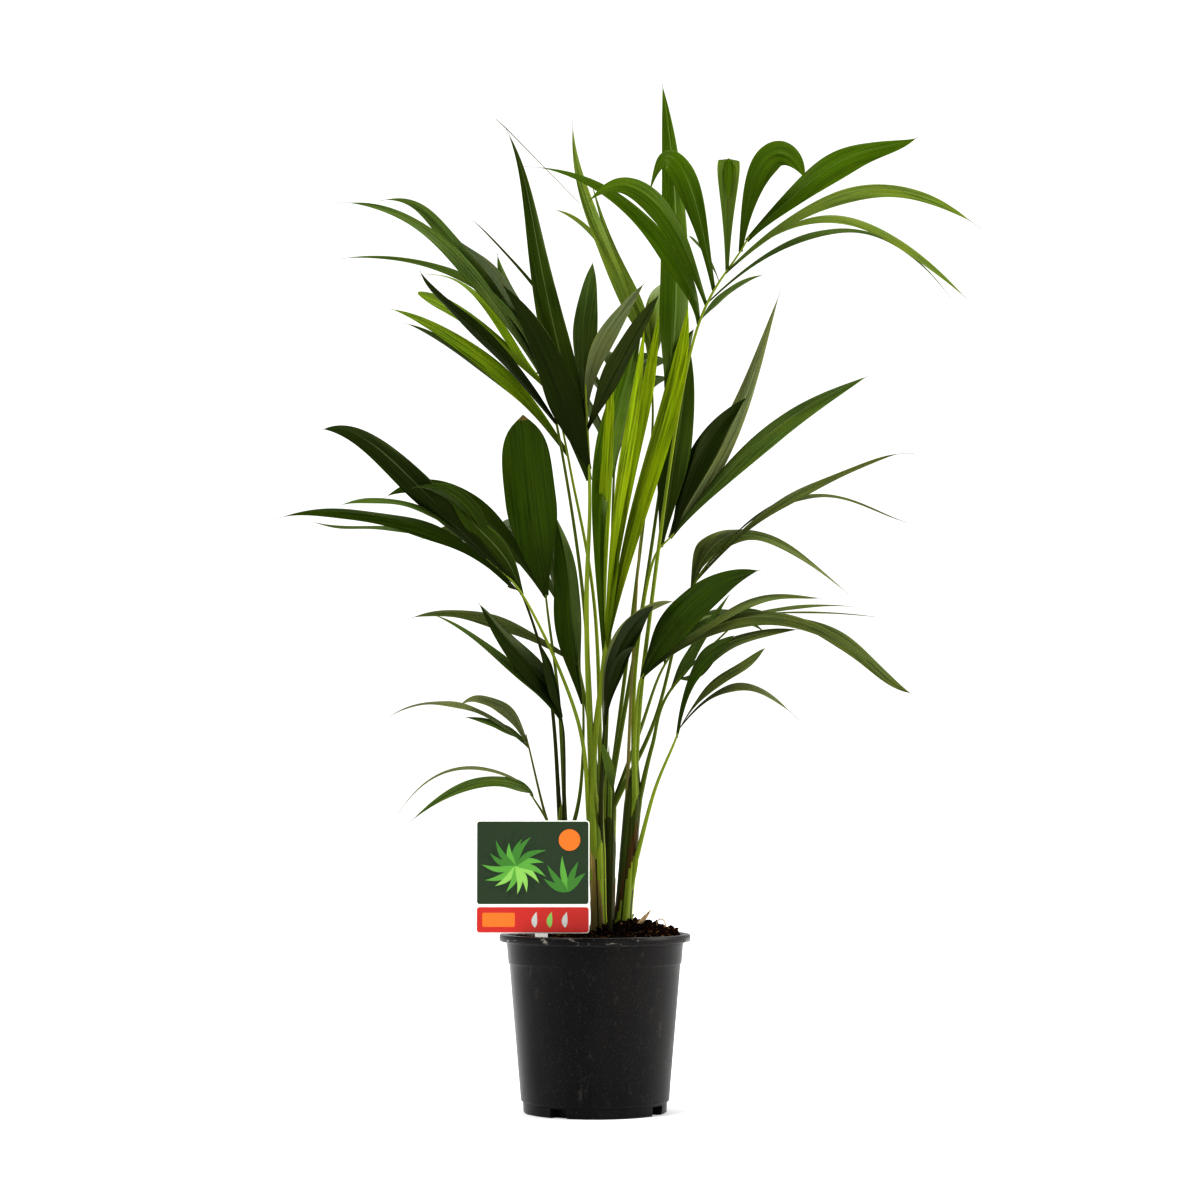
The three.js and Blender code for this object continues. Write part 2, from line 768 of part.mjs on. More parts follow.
// A frond's solids: a straight one is whole, and any other is parted at its collar.
function frondOf(name) {
  const frond = FRONDS[name];
  const points = [footOf(frond), ...frond.waist.map(vector), vector(frond.collar), vector(frond.tip)];
  const last = points.length - 1;
  const whole = STRAIGHT.includes(name);
  const pace = points[last].distanceTo(points[last - 2]) / 2; // of the curve, at its collar
  const start = whole ? 0 : (last - 1 + GAP / pace) / last;
  let blade = solid(rodOf(frond, points, start, 1, whole ? PETIOLE_STEPS : RIB_STEPS));
  for (const leaflet of frond.leaflets) {
    const root = onCurve(points, last - 1, leaflet[0]);
    blade = blade.add(solid(leafletOf(root, leaflet)));
  }
  const meshes = [named(name, geometryOf(blade), frond.material)];
  if (!whole) {
    const petiole = solid(rodOf(frond, points, 0, (last - 1) / last, PETIOLE_STEPS - RIB_STEPS + 1));
    meshes.push(named(name.replace("frond", "petiole"), geometryOf(petiole), PETIOLE));
  }
  return meshes;
}

// ---------------------------------------------------------------- the palm
const palm = new THREE.Group();
const seedlingPocket = pocketAt(SEEDLING_FOOT, SEEDLING_POCKET);
const stemPockets = Object.values(STEMS).map(stemPocket);
palm.add(pot(), soil([labelSlot(), seedlingPocket, ...stemPockets]), label());
for (const name of Object.keys(STEMS)) palm.add(stem(name));
for (const name of Object.keys(FRONDS)) palm.add(...frondOf(name));

export default palm;
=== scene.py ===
"""Looks of the young kentia palm in its nursery pot, in metres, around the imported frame.

-Y is the front, +X the right and +Z up. The pot stands on Z = 0 with its axis on the Z axis.
Sizes below are millimetres unless a name says otherwise, and MM turns them into metres.
"""

import collections
import math

import bpy
import numpy as np
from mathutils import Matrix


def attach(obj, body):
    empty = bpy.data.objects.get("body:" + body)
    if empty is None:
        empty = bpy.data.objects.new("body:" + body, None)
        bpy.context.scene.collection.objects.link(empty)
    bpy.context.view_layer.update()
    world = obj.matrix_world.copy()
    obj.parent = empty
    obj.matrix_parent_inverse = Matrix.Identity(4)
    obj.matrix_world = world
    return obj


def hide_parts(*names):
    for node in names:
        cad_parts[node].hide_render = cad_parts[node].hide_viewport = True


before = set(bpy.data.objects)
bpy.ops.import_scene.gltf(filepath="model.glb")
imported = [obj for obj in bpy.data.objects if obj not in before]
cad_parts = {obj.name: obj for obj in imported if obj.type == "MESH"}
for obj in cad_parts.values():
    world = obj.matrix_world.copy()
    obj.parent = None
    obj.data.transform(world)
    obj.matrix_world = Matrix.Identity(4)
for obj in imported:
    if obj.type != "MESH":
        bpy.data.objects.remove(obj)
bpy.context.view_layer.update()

MM = 0.001

# ---------------------------------------------------------------- camera, floor and light
CAMERA_X = 4.7
CAMERA_Y = -2650.0
CAMERA_Z = 290.0
CAMERA_TILT = 4.12  # degrees above the horizon
CAMERA_LENS = 83.94  # on a 36 mm sensor
SENSOR = 36.0
WALL_STRENGTH = 0.8
FLOOR_HALF = 12.0  # metres

# ---------------------------------------------------------------- the palm's rule, as in the solids
GAP = 0.3
RIB_TIP_SHARE = 0.3
# Each stem: foot, top, radius above the root flare, radius at the top.
STEMS = {
    "stem_centre": ((4, -2), (1, -2, 262), 6.4, 7.8),
    "stem_right": ((25, 10), (36, 12, 292), 7.6, 8.2),
    "stem_left": ((-28, 6), (-31, 4, 246), 6.0, 7.0),
    "stem_back": ((10, 38), (12, 46, 285), 7.0, 8.2),
}
# A leaflet: how far along the rib it starts, its heading, chord and shape, then what a row may leave out.
# sway bends it to an S, curl carries its crest towards the tip, bow bends it level and twist turns it.
# peak is where it is widest, taper how late it narrows and tail the share of its thin tip. under shows
# its underside to the front, and threads are torn ends that hang from its tip.
Leaf = collections.namedtuple(
    "Leaf",
    "along turn reach lift arch width roll hook "
    "tone sway curl bow twist peak taper tail fold under threads",
    defaults=(None, 0, 0, 0, 0, 0.46, 3.4, 0.02, 18, False, ()),
)


class Frond:
    """A frond: its leaf tone, stalk, stem, stalk radius, line of points, and leaflets.

    The line's first point is the foot, as (turn, share of the radius) on its stem's top or a place of
    its own. Its waist, collar and rib tip follow.
    """

    def __init__(self, tone, stalk, stem, radius, line, *leaflets):
        self.tone, self.stalk, self.stem, self.radius = tone, stalk, stem, radius
        self.foot, self.bends, self.leaflets = line[0], line[1:], leaflets


# Most leaflets' values were worked out by a scratch program from lines traced on the photo.
FRONDS = {
    "frond_top_right": Frond(
        "fresh", "bright", "stem_right", 2.6, [(0, 0), (49, 6, 442), (92, 6, 722), (148, 8, 832)],
        Leaf(0.14, 164, 181, 165, 12, 24, -55, -0.3, curl=31, tail=0.05),
        Leaf(0.28, 208, 137, 78, 34, 26, 80, 0.27, sway=3, curl=24, tail=0.05),
        Leaf(0.41, 160, 66, 97, 39, 29, -61, 1.15, sway=2, curl=2),
        Leaf(0.63, -90, 30, 57, 12, 23, 0, 2.2, under=True, taper=4),
        Leaf(0.85, -30, 69, 62, 59, 31, -83, 0.8, curl=-17),
        Leaf(0.96, 12, 174, 110, 36, 36, 73, 0.06, sway=-6, curl=-21, peak=0.64, taper=3.2),
        Leaf(0.6, -20, 250, 25, 64, 18, 68, 0.16, curl=-10, tail=0.06, tone="pale"),
        Leaf(0.63, -36, 260, -56, 65, 14, 41, 0, sway=5, curl=-6, tone="pale"),
        Leaf(0.3, 26, 276, 27, 75, 14, 28, 0.17, curl=-6, tone="moss"),
        Leaf(0.16, 30, 74, 52, 4, 8, -70, -0.1, curl=3, tone="moss"),
        Leaf(0.5, 110, 80, 60, 8, 12, 60, 0),
    ),
    "frond_tall": Frond(
        "fresh", "green", "stem_back", 2.4, [(0, 0), (46, 52, 480), (69, 60, 640), (71, 62, 680)],
        Leaf(1, 96, 43, 329, -25, 31, 4, 0.07, bow=-14, peak=0.3),
        Leaf(0.6, 50, 42, 88, 6, 22, 60, 0, tone="dark"),
    ),
    "frond_upper_pale": Frond(
        "pale", "green", "stem_back", 2.2, [(85, 0.72), (36, 76, 470), (56, 86, 650), (52, 90, 745)],
        Leaf(0.95, 170, 76, 228, 7, 20, -62, -0.23, curl=-17, peak=0.3),
        Leaf(0.89, 160, 61, 177, 4, 14, 62, -0.3, sway=3, curl=-3),
        Leaf(0.95, 150, 109, 147, 13, 12, 58, 0.11, curl=6),
        Leaf(0.5, 80, 120, 120, 30, 26, 30, 0),
    ),
    "young_fan": Frond(
        "young", "bright", "stem_centre", 4.4,
        [(200, 0.3), (-2, -12, 330), (9, -13, 428), (18, -18, 545)],
        Leaf(0, -32, 94, 337, -2, 27, 87, 0.09, sway=4, peak=0.58, taper=5, tail=0.05),
        Leaf(0, -50, 80, 317, 1, 17, -76, 0.21, sway=4, curl=5, peak=0.68, taper=5),
        Leaf(0, -72, 119, 295, 11, 19, -63, 0.1, sway=6, curl=3, peak=0.68, taper=5),
        Leaf(0, -80, 30, 291, -5, 15, 18, 0.2, sway=12, curl=8, peak=0.5, tail=0.05),
        Leaf(0, 75, 150, 340, 62, 33, 40, 0.08, sway=17, curl=2, peak=0.68, taper=3, tone="fresh"),
        Leaf(0, -60, 66, 248, 9, 14, -70, -0.1, sway=-5, peak=0.58, taper=5, tone="lime"),
    ),
    "frond_upper_left": Frond(
        "moss", "green", "stem_centre", 2.2,
        [(100, 0.73), (-10, -2, 470), (-36, -14, 645), (-62, -24, 742)],
        Leaf(0.42, 176, 160, 172, -15, 23, -63, 0.13, sway=7, curl=45),
        Leaf(0.3, 208, 218, 157, 36, 20, -67, 0.11, sway=-2, curl=6, tail=0.05),
        Leaf(0.14, 192, 202, 135, 55, 18, -41, 0.05, sway=4, curl=2),
        Leaf(0.01, 218, 158, 130, 12, 18, 14, 0.18, curl=-12, peak=0.36, tone="deep"),
        Leaf(0.48, 160, 48, 117, 6, 21, -44, -0.06, curl=-7),
        Leaf(1, 170, 72, 84, 11, 20, -40, -0.15, sway=-3, curl=-5, tone="grey"),
    ),
    "frond_left_upright": Frond(
        "dark", "bright", "stem_centre", 3, [(244, 0.73), (-8, -24, 460), (-5, -38, 572), (-9, -52, 680)],
        Leaf(
            0.17, 216, 96, 322, -23, 34, 62, -0.03, sway=5, curl=28, peak=0.3, taper=1.9,
            threads=[(68, 40, -62), (-9, 0, 8)],
        ),
        Leaf(0.82, -80, 37, 129, 36, 27, -31, 0.09, sway=6, curl=-4, tone="moss"),
        Leaf(0.78, -20, 58, 116, 14, 22, -42, 0.06, sway=2, under=True, tone="silver"),
        Leaf(0.6, -54, 113, 113, 3, 25, -71, 0.06, fold=24, under=True, tone="deep"),
        Leaf(0.26, 230, 125, 160, 9, 36, 32, -0.02, sway=-2, curl=3, peak=0.4, taper=2.4, tone="deep"),
        Leaf(0.6, 168, 113, 205, 22, 5, 40, 0.2, sway=5, peak=0.4),
    ),
    "frond_left_bright": Frond(
        "lime", "bright", "stem_centre", 2.2, [(28, 0.73), (0, 24, 470), (-24, 34, 610), (-42, 42, 700)],
        Leaf(0.16, 158, 192, 152, 15, 20, -58, 0.08, sway=2, curl=6),
        Leaf(0.1, 150, 191, 148, 9, 18, 50, 0.03, sway=3, curl=7, tone="dark"),
        Leaf(0.78, 150, 161, 116, 10, 20, -39, 0.55, sway=3),
        Leaf(0.85, 140, 185, 135, -12, 16, -6, -0.21, sway=-3, curl=33),
    ),
    "frond_left_broad": Frond(
        "mid", "green", "stem_left", 2, [(40, 0.72), (-34, 2, 380), (-45, -8, 470), (-47, -10, 492)],
        Leaf(0.42, 250, 60, 165, -4, 50, 24, -0.16, curl=-3, peak=0.6, taper=15, tail=0.004),
        Leaf(0.33, 172, 161, 95, 37, 24, 71, 0.27, curl=3, tone="dark", tail=0.05),
    ),
    "frond_left_dark": Frond(
        "dark", "bright", "stem_centre", 2.2,
        [(172, 0.73), (-16, -30, 365), (-64, -56, 476), (-106, -74, 520)],
        Leaf(
            0.29, 210, 194, 129, 21, 29, 62, 0.35, sway=-4, curl=-4, twist=60, peak=0.4, taper=2.4,
            tone="deep",
        ),
        Leaf(0.56, 204, 156, 53, 28, 16, -32, 0.26, sway=3, curl=-2, tone="moss"),
        Leaf(0.08, 216, 83, 87, 5, 23, 66, 0, sway=3, curl=2, tone="dark"),
        Leaf(0.7, 234, 120, 60, 26, 22, 30, 0),
    ),
    "frond_left_long": Frond(
        "dark", "dark", "stem_left", 2, [(100, 0.72), (-42, -10, 390), (-66, -22, 478), (-82, -28, 492)],
        Leaf(0.53, 184, 230, 62, 20, 22, -52, 0, sway=5, curl=16, tail=0.05),
        Leaf(0.74, 170, 195, 66, 29, 16, -19, 0.16, sway=6, curl=-8, tone="moss"),
    ),
    "frond_front_upright": Frond(
        "mid", "green", "stem_left", 2, [(340, 0.72), (-14, 0, 300), (-11, -4, 375), (-16, 0, 424)],
        Leaf(0.12, 160, 30, 184, 3, 32, -51, 0.04, sway=-4, curl=-2, peak=0.5, taper=3.6, fold=20),
        Leaf(0.9, 172, 162, 46, 20, 20, -40, 0.15, tone="olive"),
    ),
    "frond_left_low": Frond(
        "deep", "dark", "stem_left", 2, [(280, 0.72), (-29, -14, 300), (-29, -34, 348), (-31, -46, 368)],
        Leaf(1, 214, 92, 104, 3, 27, -88, -0.12, sway=4, curl=3),
        Leaf(0.75, 202, 130, 98, 3, 18, -45, -0.17, sway=2, curl=11, tone="moss"),
        Leaf(1, 244, 42, 65, 4, 18, 79, 0, tone="deep"),
    ),
    "frond_lowest_back": Frond(
        "silver", "olive", "stem_left", 1.5, [(160, 0.72), (-48, 12, 280), (-62, 20, 337), (-66, 22, 354)],
        Leaf(0.13, 162, 143, 31, 23, 12, -24, 0.13, sway=2, curl=4),
        Leaf(0.12, 172, 70, 38, 8, 17, -45, 0.23, sway=5, curl=18),
        Leaf(0.3, 160, 66, 26, 6, 10, -45, 0, tone="moss"),
    ),
    "frond_lowest_front": Frond(
        "silver", "green", "stem_left", 1.4,
        [(220, 0.72), (-45, -12, 272), (-57, -22, 292), (-61, -26, 297)],
        Leaf(0.15, 194, 128, -15, 2, 8, -28, -0.45, curl=34),
        Leaf(0.09, 212, 132, -23, 13, 16, -50, -0.55, sway=-3, curl=11, tone="moss"),
    ),
    "frond_right_upper": Frond(
        "dark", "bright", "stem_right", 2.4, [(80, 0.72), (38, 24, 410), (54, 28, 515), (76, 32, 548)],
        Leaf(0.82, 32, 133, 255, -16, 30, 66, -0.32, sway=6, curl=7, peak=0.5, taper=2.4, tone="silver"),
        Leaf(1, 18, 206, 163, 20, 25, 58, 0, sway=-2, curl=-4, peak=0.55, taper=4, tone="moss"),
        Leaf(0.43, 15, 30, 197, 0, 36, 76, 0.12),
        Leaf(0.95, 20, 79, 138, 13, 30, 62, 0.09, peak=0.55, taper=3, tone="deep"),
    ),
    "frond_right": Frond(
        "olive", "green", "stem_back", 2.3, [(-20, 0.72), (58, 50, 370), (92, 58, 492), (138, 72, 552)],
        Leaf(0.16, 8, 218, 127, 13, 18, 30, 0.14, sway=6, curl=13, tail=0.08),
        Leaf(0.99, 18, 183, 16, 47, 14, 21, -0.05, sway=-3, curl=-16),
        Leaf(0.05, 20, 169, -3, 62, 20, 49, -0.38, sway=-5, curl=-6),
        Leaf(0.05, 50, 81, 63, 16, 22, 70, 0, sway=2),
        Leaf(0.1, 62, 80, 56, 14, 16, 70, 0, tone="dark"),
    ),
    "frond_right_front": Frond(
        "mid", "bright", "stem_right", 2.3, [(285, 0.72), (37, -6, 340), (41, -20, 396), (46, -26, 410)],
        Leaf(0.5, -54, 179, 90, 18, 37, -74, -0.15, curl=6),
        Leaf(0.86, -16, 171, 69, 35, 13, 47, 0.16, sway=-5, curl=-14, tone="olive"),
        Leaf(0.5, 45, 110, 66, 16, 14, 60, 0),
        Leaf(0.54, -16, 227, 6, 59, 19, 66, 0.04, curl=-8, taper=2.6, tone="olive"),
    ),
    "frond_right_arch": Frond(
        "olive", "green", "stem_right", 2.3, [(0, 0.72), (54, 10, 342), (72, 4, 396), (140, -6, 466)],
        Leaf(1, -14, 160, -76, 23, 20, 48, 0.22, sway=5, curl=-7),
        Leaf(0.82, -4, 120, 20, 5, 14, 25, -0.55, curl=7),
        Leaf(0, -10, 58, 92, 3, 18, 60, 0, peak=0.36, taper=1.8, tone="moss"),
        Leaf(0.17, -30, 96, 42, 4, 16, 55, -0.31, sway=-6),
        Leaf(1, -10, 125, -3, 4, 4, 30, 0),
    ),
    "frond_right_low": Frond(
        "olive", "bright", "stem_right", 2,
        [(38.8, 5.8, 236), (56, -6, 300), (74, -18, 344), (80, -22, 360)],
        Leaf(0.24, -62, 108, 91, 30, 20, -89, 0.15, sway=3, curl=-7, tone="mid"),
        Leaf(0.93, -40, 101, 72, 5, 14, 64, 0.18, sway=5, curl=3, twist=60),
        Leaf(1, -30, 126, 3, 45, 14, 44, 0.08, curl=-11, taper=2.2, tail=0.12, tone="silver"),
        Leaf(0.51, -20, 119, 95, 39, 16, 60, 0.13, sway=4, curl=-4),
    ),
    "frond_centre": Frond(
        "deep", "dark", "stem_centre", 2.1, [(316, 0.73), (6, -16, 310), (8, -26, 352), (12, -36, 400)],
        Leaf(0.21, -66, 112, 105, 27, 26, -62, 0, sway=2),
        Leaf(0, -36, 80, 122, 45, 16, 51, 0.39, sway=6, curl=-9, tone="silver"),
        Leaf(0.3, -66, 70, 66, 18, 12, -62, 0),
    ),
    "frond_back_high": Frond(
        "dark", "green", "stem_back", 2.3, [(140, 0.72), (14, 84, 450), (18, 112, 600), (22, 150, 690)],
        Leaf(0.1, 130, 130, 120, 34, 30, 60, 0),
        Leaf(0.15, 60, 120, 110, 34, 30, 60, 0),
        Leaf(0.55, 120, 130, 90, 34, 30, 54, 0),
        Leaf(0.6, 62, 130, 90, 34, 30, 54, 0),
        Leaf(1, 94, 130, 60, 30, 32, 50, 0),
    ),
    "frond_back_left": Frond(
        "dark", "green", "stem_back", 2.2, [(200, 0.72), (-12, 66, 400), (-34, 92, 480), (-62, 124, 530)],
        Leaf(0.1, 178, 110, 62, 26, 26, 50, 0),
        Leaf(0.2, 100, 110, 80, 26, 28, 50, 0),
        Leaf(0.6, 165, 130, 40, 30, 28, 44, 0),
        Leaf(0.8, 115, 110, 36, 30, 28, 44, 0),
        Leaf(1, 140, 120, 20, 30, 30, 40, 0),
    ),
    "frond_back_right": Frond(
        "mid", "green", "stem_back", 2.2, [(35, 0.72), (44, 76, 360), (66, 100, 420), (96, 128, 460)],
        Leaf(0.1, 84, 90, 24, 12, 16, 60, 0),
        Leaf(0.3, 20, 100, 40, 16, 20, 50, 0),
        Leaf(0.7, 78, 90, 14, 12, 18, 60, 0),
        Leaf(0.8, 12, 110, 16, 18, 18, 50, 0),
        Leaf(1, 44, 110, 0, 20, 20, 50, 0),
    ),
    "seedling_front": Frond(
        "moss", "dark", None, 1.3, [(14, -17, 166), (16, -18, 240), (17, -19, 295), (17, -20, 303)],
        Leaf(0.29, 230, 18, 45, 2, 10, 40, 0),
    ),
    "dry_petiole": Frond(
        "dark", "tan", "stem_right", 1.6,
        [(190, 0.72), (34, 3, 392), (39, -1, 480), (42, -2, 530), (46, -3, 556)],
    ),
}


# ---------------------------------------------------------------- small helpers
def rgba(code):
    """Linear colour of an sRGB hex code, with alpha 1."""
    parts = [int(code[i : i + 2], 16) / 255 for i in (0, 2, 4)]
    return (*[((c + 0.055) / 1.055) ** 2.4 if c > 0.04045 else c / 12.92 for c in parts], 1.0)


def scaled(colour, share):
    return (*[min(1.0, c * share) for c in colour[:3]], 1.0)


def unit(vectors):
    return vectors / np.maximum(np.linalg.norm(vectors, axis=-1, keepdims=True), 1e-12)


def smooth(t):
    t = np.clip(t, 0, 1)
    return t * t * (3 - 2 * t)


# ---------------------------------------------------------------- materials
LEAF_MAP = "leaf"  # u across and v along each leaflet or stalk, in centimetres
PLACE_MAP = "place"  # u from the middle, 0, to the margin, 1, and v from the foot, 0, to the tip, 1
BAKE_MAP = "OFBake"  # the same faces laid apart
RANGE_SOCKETS = ("From Min", "From Max", "To Min", "To Max")


class Shader:
    """A node material: its shader, and short ways to add and link nodes."""

    def __init__(self, name, **sockets):
        self.material = bpy.data.materials.new(name)
        self.material.use_nodes = True
        self.tree = self.material.node_tree
        self.main = self.tree.nodes["Principled BSDF"]
        for socket, value in sockets.items():
            self.main.inputs[socket.replace("_", " ")].default_value = value

    def add(self, kind, numbers=(), **settings):
        node = self.tree.nodes.new("ShaderNode" + kind)
        for key, value in settings.items():
            setattr(node, key, value)
        for socket, number in dict(numbers).items():
            node.inputs[socket].default_value = number
        return node

    def link(self, start, end):
        self.tree.links.new(start, end)

    def feed(self, start, socket):
        self.link(start, self.main.inputs[socket])

    def place(self, scale=(1, 1, 1), source="Object"):
        """Coordinates stretched by scale, from the object or from a map of the mesh."""
        if source == "Object":
            start = self.add("TexCoord").outputs["Object"]
        else:
            start = self.add("UVMap", uv_map=source).outputs["UV"]
        stretch = self.add("Mapping", {"Scale": scale})
        self.link(start, stretch.inputs["Vector"])
        return stretch.outputs["Vector"]

    def axes(self, source="Object"):
        where = self.add("SeparateXYZ")
        self.link(self.place(source=source), where.inputs["Vector"])
        return where.outputs

    def noise(self, at, scale=1.0, detail=3.0, roughness=0.5, distortion=0.0):
        numbers = {"Scale": scale, "Detail": detail, "Roughness": roughness, "Distortion": distortion}
        node = self.add("TexNoise", numbers)
        self.link(at, node.inputs["Vector"])
        return node.outputs["Fac"]

    def span(self, value, low, high, to_low=0.0, to_high=1.0):
        node = self.add("MapRange", zip(RANGE_SOCKETS, (low, high, to_low, to_high)))
        self.link(value, node.inputs["Value"])
        return node.outputs["Result"]

    def mix(self, factor, first, second):
        """Colour between first and second, each a colour or a socket."""
        node = self.add("Mix", data_type="RGBA")
        self.link(factor, node.inputs["Factor"])
        for socket, value in (("A", first), ("B", second)):
            end = [i for i in node.inputs if i.name == socket and i.type == "RGBA"][0]
            if isinstance(value, tuple):
                end.default_value = value
            else:
                self.link(value, end)
        return [o for o in node.outputs if o.type == "RGBA"][0]

    def bump(self, height, strength, distance):
        node = self.add("Bump", {"Strength": strength, "Distance": distance})
        self.link(height, node.inputs["Height"])
        self.feed(node.outputs["Normal"], "Normal")


def leaf_material(name, code, gloss=0.34, streak=0.42, level=0.16, shade=0.55):
    """Satin leaf: a base colour with painted shade darkening it towards its foot, with veins, faint patches
    and a pale margin.
    """
    made = Shader(name, Specular_IOR_Level=level, Specular_Tint=(0.85, 1.0, 0.4, 1.0))
    base = rgba(code)
    veins = made.noise(made.place((6.0, 0.1, 1.0), LEAF_MAP), 1.0, 4.0, 0.65)
    patches = made.noise(made.place((0.9, 0.22, 1.0), LEAF_MAP), 1.0, 3.0)
    where = made.axes(PLACE_MAP)
    streaked = made.mix(made.span(veins, 0.36, 0.64), scaled(base, 1 - streak), scaled(base, 1 + streak))
    warm = (min(1.0, base[0] * 1.4), base[1] * 1.22, base[2] * 0.75, 1.0)
    toned = made.mix(made.span(patches, 0.42, 0.72, 0.0, 0.75), streaked, warm)
    # Painted shade: towards the foot, where the crown shades it, the colour falls to shade times the base
    # colour.
    foot = made.mix(made.span(where["Y"], 0.0, 0.45), scaled(base, shade), toned)
    rim = made.mix(made.span(where["X"], 0.93, 1.0, 0.0, 0.6), foot, scaled(warm, 1.6))
    made.feed(rim, "Base Color")
    made.feed(made.span(veins, 0.25, 0.75, gloss - 0.08, gloss + 0.14), "Roughness")
    made.bump(veins, 0.3, 0.0005)
    return made.material


# Leaf tones: upper face, underside and midrib.
TONES = {
    "dark": ("2a3a08", "42502a", "2c3c0a"),
    # Painted shade: the next tone is the dark tone darkened for leaflets that lie in shade.
    "deep": ("1a2604", "2c3616", "1c2806"),
    "mid": ("2c3f06", "46542a", "304208"),
    "fresh": ("425a08", "5c702e", "465e0c"),
    "pale": ("627430", "687840", "647634"),
    "young": ("748810", "7c882c", "7a8c1c"),
    "lime": ("5c720c", "5e6e22", "627414"),
    "moss": ("465828", "4c5c36", "4a5a2a"),
    "olive": ("525d34", "58623f", "5c6438"),
    "silver": ("626a48", "646c4c", "666e4a"),
    # Painted sheen: the next tone's light grey-green upper face stands for leaflets that catch the light.
    "grey": ("505a42", "323e1e", "525c44"),
}
STALKS = {"bright": "6c7c2a", "green": "4c5a1e", "dark": "24260e", "olive": "4a4a22", "tan": "706c40"}
# Sheaths of the stems: colour, roughness and strength of the streaks.
SHEATH_LOOKS = {
    "sheath_dark": ("343e1a", 0.5, 0.45),
    "sheath_green": ("5a6a2c", 0.45, 0.4),
    "sheath_tan": ("7c7048", 0.7, 0.5),
    "sheath_brown": ("4c3a22", 0.8, 0.5),
}
LEAF_MATERIALS = {}
for tone, codes in TONES.items():
    streak = 0.6 if tone in ("young", "lime") else 0.42
    for face, code in zip(("upper", "under", "midrib"), codes):
        LEAF_MATERIALS[f"{tone}_{face}"] = leaf_material(f"leaf_{tone}_{face}", code, streak=streak)
# Stalks keep more of their colour in the painted shade at their foot.
for stalk, code in STALKS.items():
    LEAF_MATERIALS[f"stalk_{stalk}"] = leaf_material(f"stalk_{stalk}", code, 0.4, 0.22, 0.2, 0.85)
LEAF_MATERIALS["dry_tip"] = leaf_material("leaf_dry_tip", "5e5434", 0.7, 0.3)
for sheath, look in SHEATH_LOOKS.items():
    LEAF_MATERIALS[sheath] = leaf_material(sheath, *look)


# ---------------------------------------------------------------- meshes made of strips
def placed(name, data):
    """A new object in the scene: a mesh, a light or a camera."""
    made = bpy.data.objects.new(name, data)
    bpy.context.scene.collection.objects.link(made)
    return made


class Strips:
    """Collects surfaces made of rows of faces, with a leaf map and a map of strips laid apart."""

    def __init__(self):
        self.points, self.faces, self.slots = [], [], []
        self.leaf_uv, self.place_uv, self.bake_uv, self.bake_strip = [], [], [], []
        self.heights, self.lengths, self.names = [], [], []
        self.count = 0

    def slot(self, name):
        if name not in self.names:
            self.names.append(name)
        return self.names.index(name)

    def strip(self, height, length):
        self.heights.append(height)
        self.lengths.append(length)
        return len(self.heights) - 1

    def grid(self, index, across, along, slots, strip, offset, mirrored=False):
        """Faces over index[row, column]; across and along are millimetres at each point.

        A mirrored grid splits its faces along the same lines as the one it backs.
        """
        rows, columns = index.shape[0] - 1, index.shape[1] - 1
        low = across.min()
        margin = np.abs(np.linspace(-1, 1, columns + 1))
        corners = ((1, 0), (1, 1), (0, 1), (0, 0)) if mirrored else ((0, 0), (1, 0), (1, 1), (0, 1))
        for i in range(rows):
            for j in range(columns):
                face = [int(index[i + a, j + b]) for a, b in corners]
                where = [(i + a, j + b) for a, b in corners]
                keep = [k for k in range(4) if face[k] != face[k - 1]]
                if len(keep) < 3:
                    continue
                self.faces.append([face[k] for k in keep])
                self.slots.append(int(slots[i, j]))
                for k in keep:
                    u, v = across[where[k]], along[where[k]]
                    self.leaf_uv.append((u / 10 + offset, v / 10 + offset * 7))
                    self.place_uv.append((margin[where[k][1]], v / self.lengths[strip]))
                    self.bake_uv.append((v, u - low))
                    self.bake_strip.append(strip)

    def add_points(self, points):
        start = self.count
        self.points.append(points.reshape(-1, 3))
        self.count += len(self.points[-1])
        return start

    def object(self, name, materials):
        mesh = bpy.data.meshes.new(name)
        points = np.concatenate(self.points) * MM
        mesh.from_pydata(points.tolist(), [], self.faces)
        for key in self.names:
            mesh.materials.append(materials[key])
        mesh.polygons.foreach_set("material_index", self.slots)
        bake = np.array(self.bake_uv, float)
        strips = np.array(self.bake_strip)
        heights = np.array(self.heights) + 2.0
        starts = np.concatenate([[0], np.cumsum(heights)])
        laid = np.stack([bake[:, 0] / max(self.lengths), (starts[strips] + 1 + bake[:, 1]) / starts[-1]], 1)
        maps = {LEAF_MAP: self.leaf_uv, PLACE_MAP: self.place_uv, BAKE_MAP: np.clip(laid, 0, 1)}
        for key, uv in maps.items():
            mesh.uv_layers.new(name=key).data.foreach_set("uv", np.array(uv, float).ravel())
        mesh.shade_smooth()
        return placed(name, mesh)


# ---------------------------------------------------------------- leaflets and stalks
HALF = np.array([0.035, 0.09, 0.2, 0.32, 0.44, 0.56, 0.68, 0.8, 0.91, 1.0])
COLUMNS = np.concatenate([-HALF[::-1], [0.0], HALF])
PLEATS = np.array([0.05, -0.05, -0.4, 0.35, -0.35, 0.35, -0.32, 0.28, -0.18, 0.0])
RIDGE = np.concatenate([PLEATS[::-1], [0.2], PLEATS])  # millimetres, by column
LEAFLET_STEPS = 44


def on_curve(points, piece, u):
    b, c = points[piece], points[piece + 1]
    a = points[piece - 1] if piece else 2 * b - c
    d = points[piece + 2] if piece + 2 < len(points) else 2 * c - b
    return (
        a * (-0.5 * u + u**2 - 0.5 * u**3)
        + b * (1 - 2.5 * u**2 + 1.5 * u**3)
        + c * (0.5 * u + 2 * u**2 - 1.5 * u**3)
        + d * (-0.5 * u**2 + 0.5 * u**3)
    )


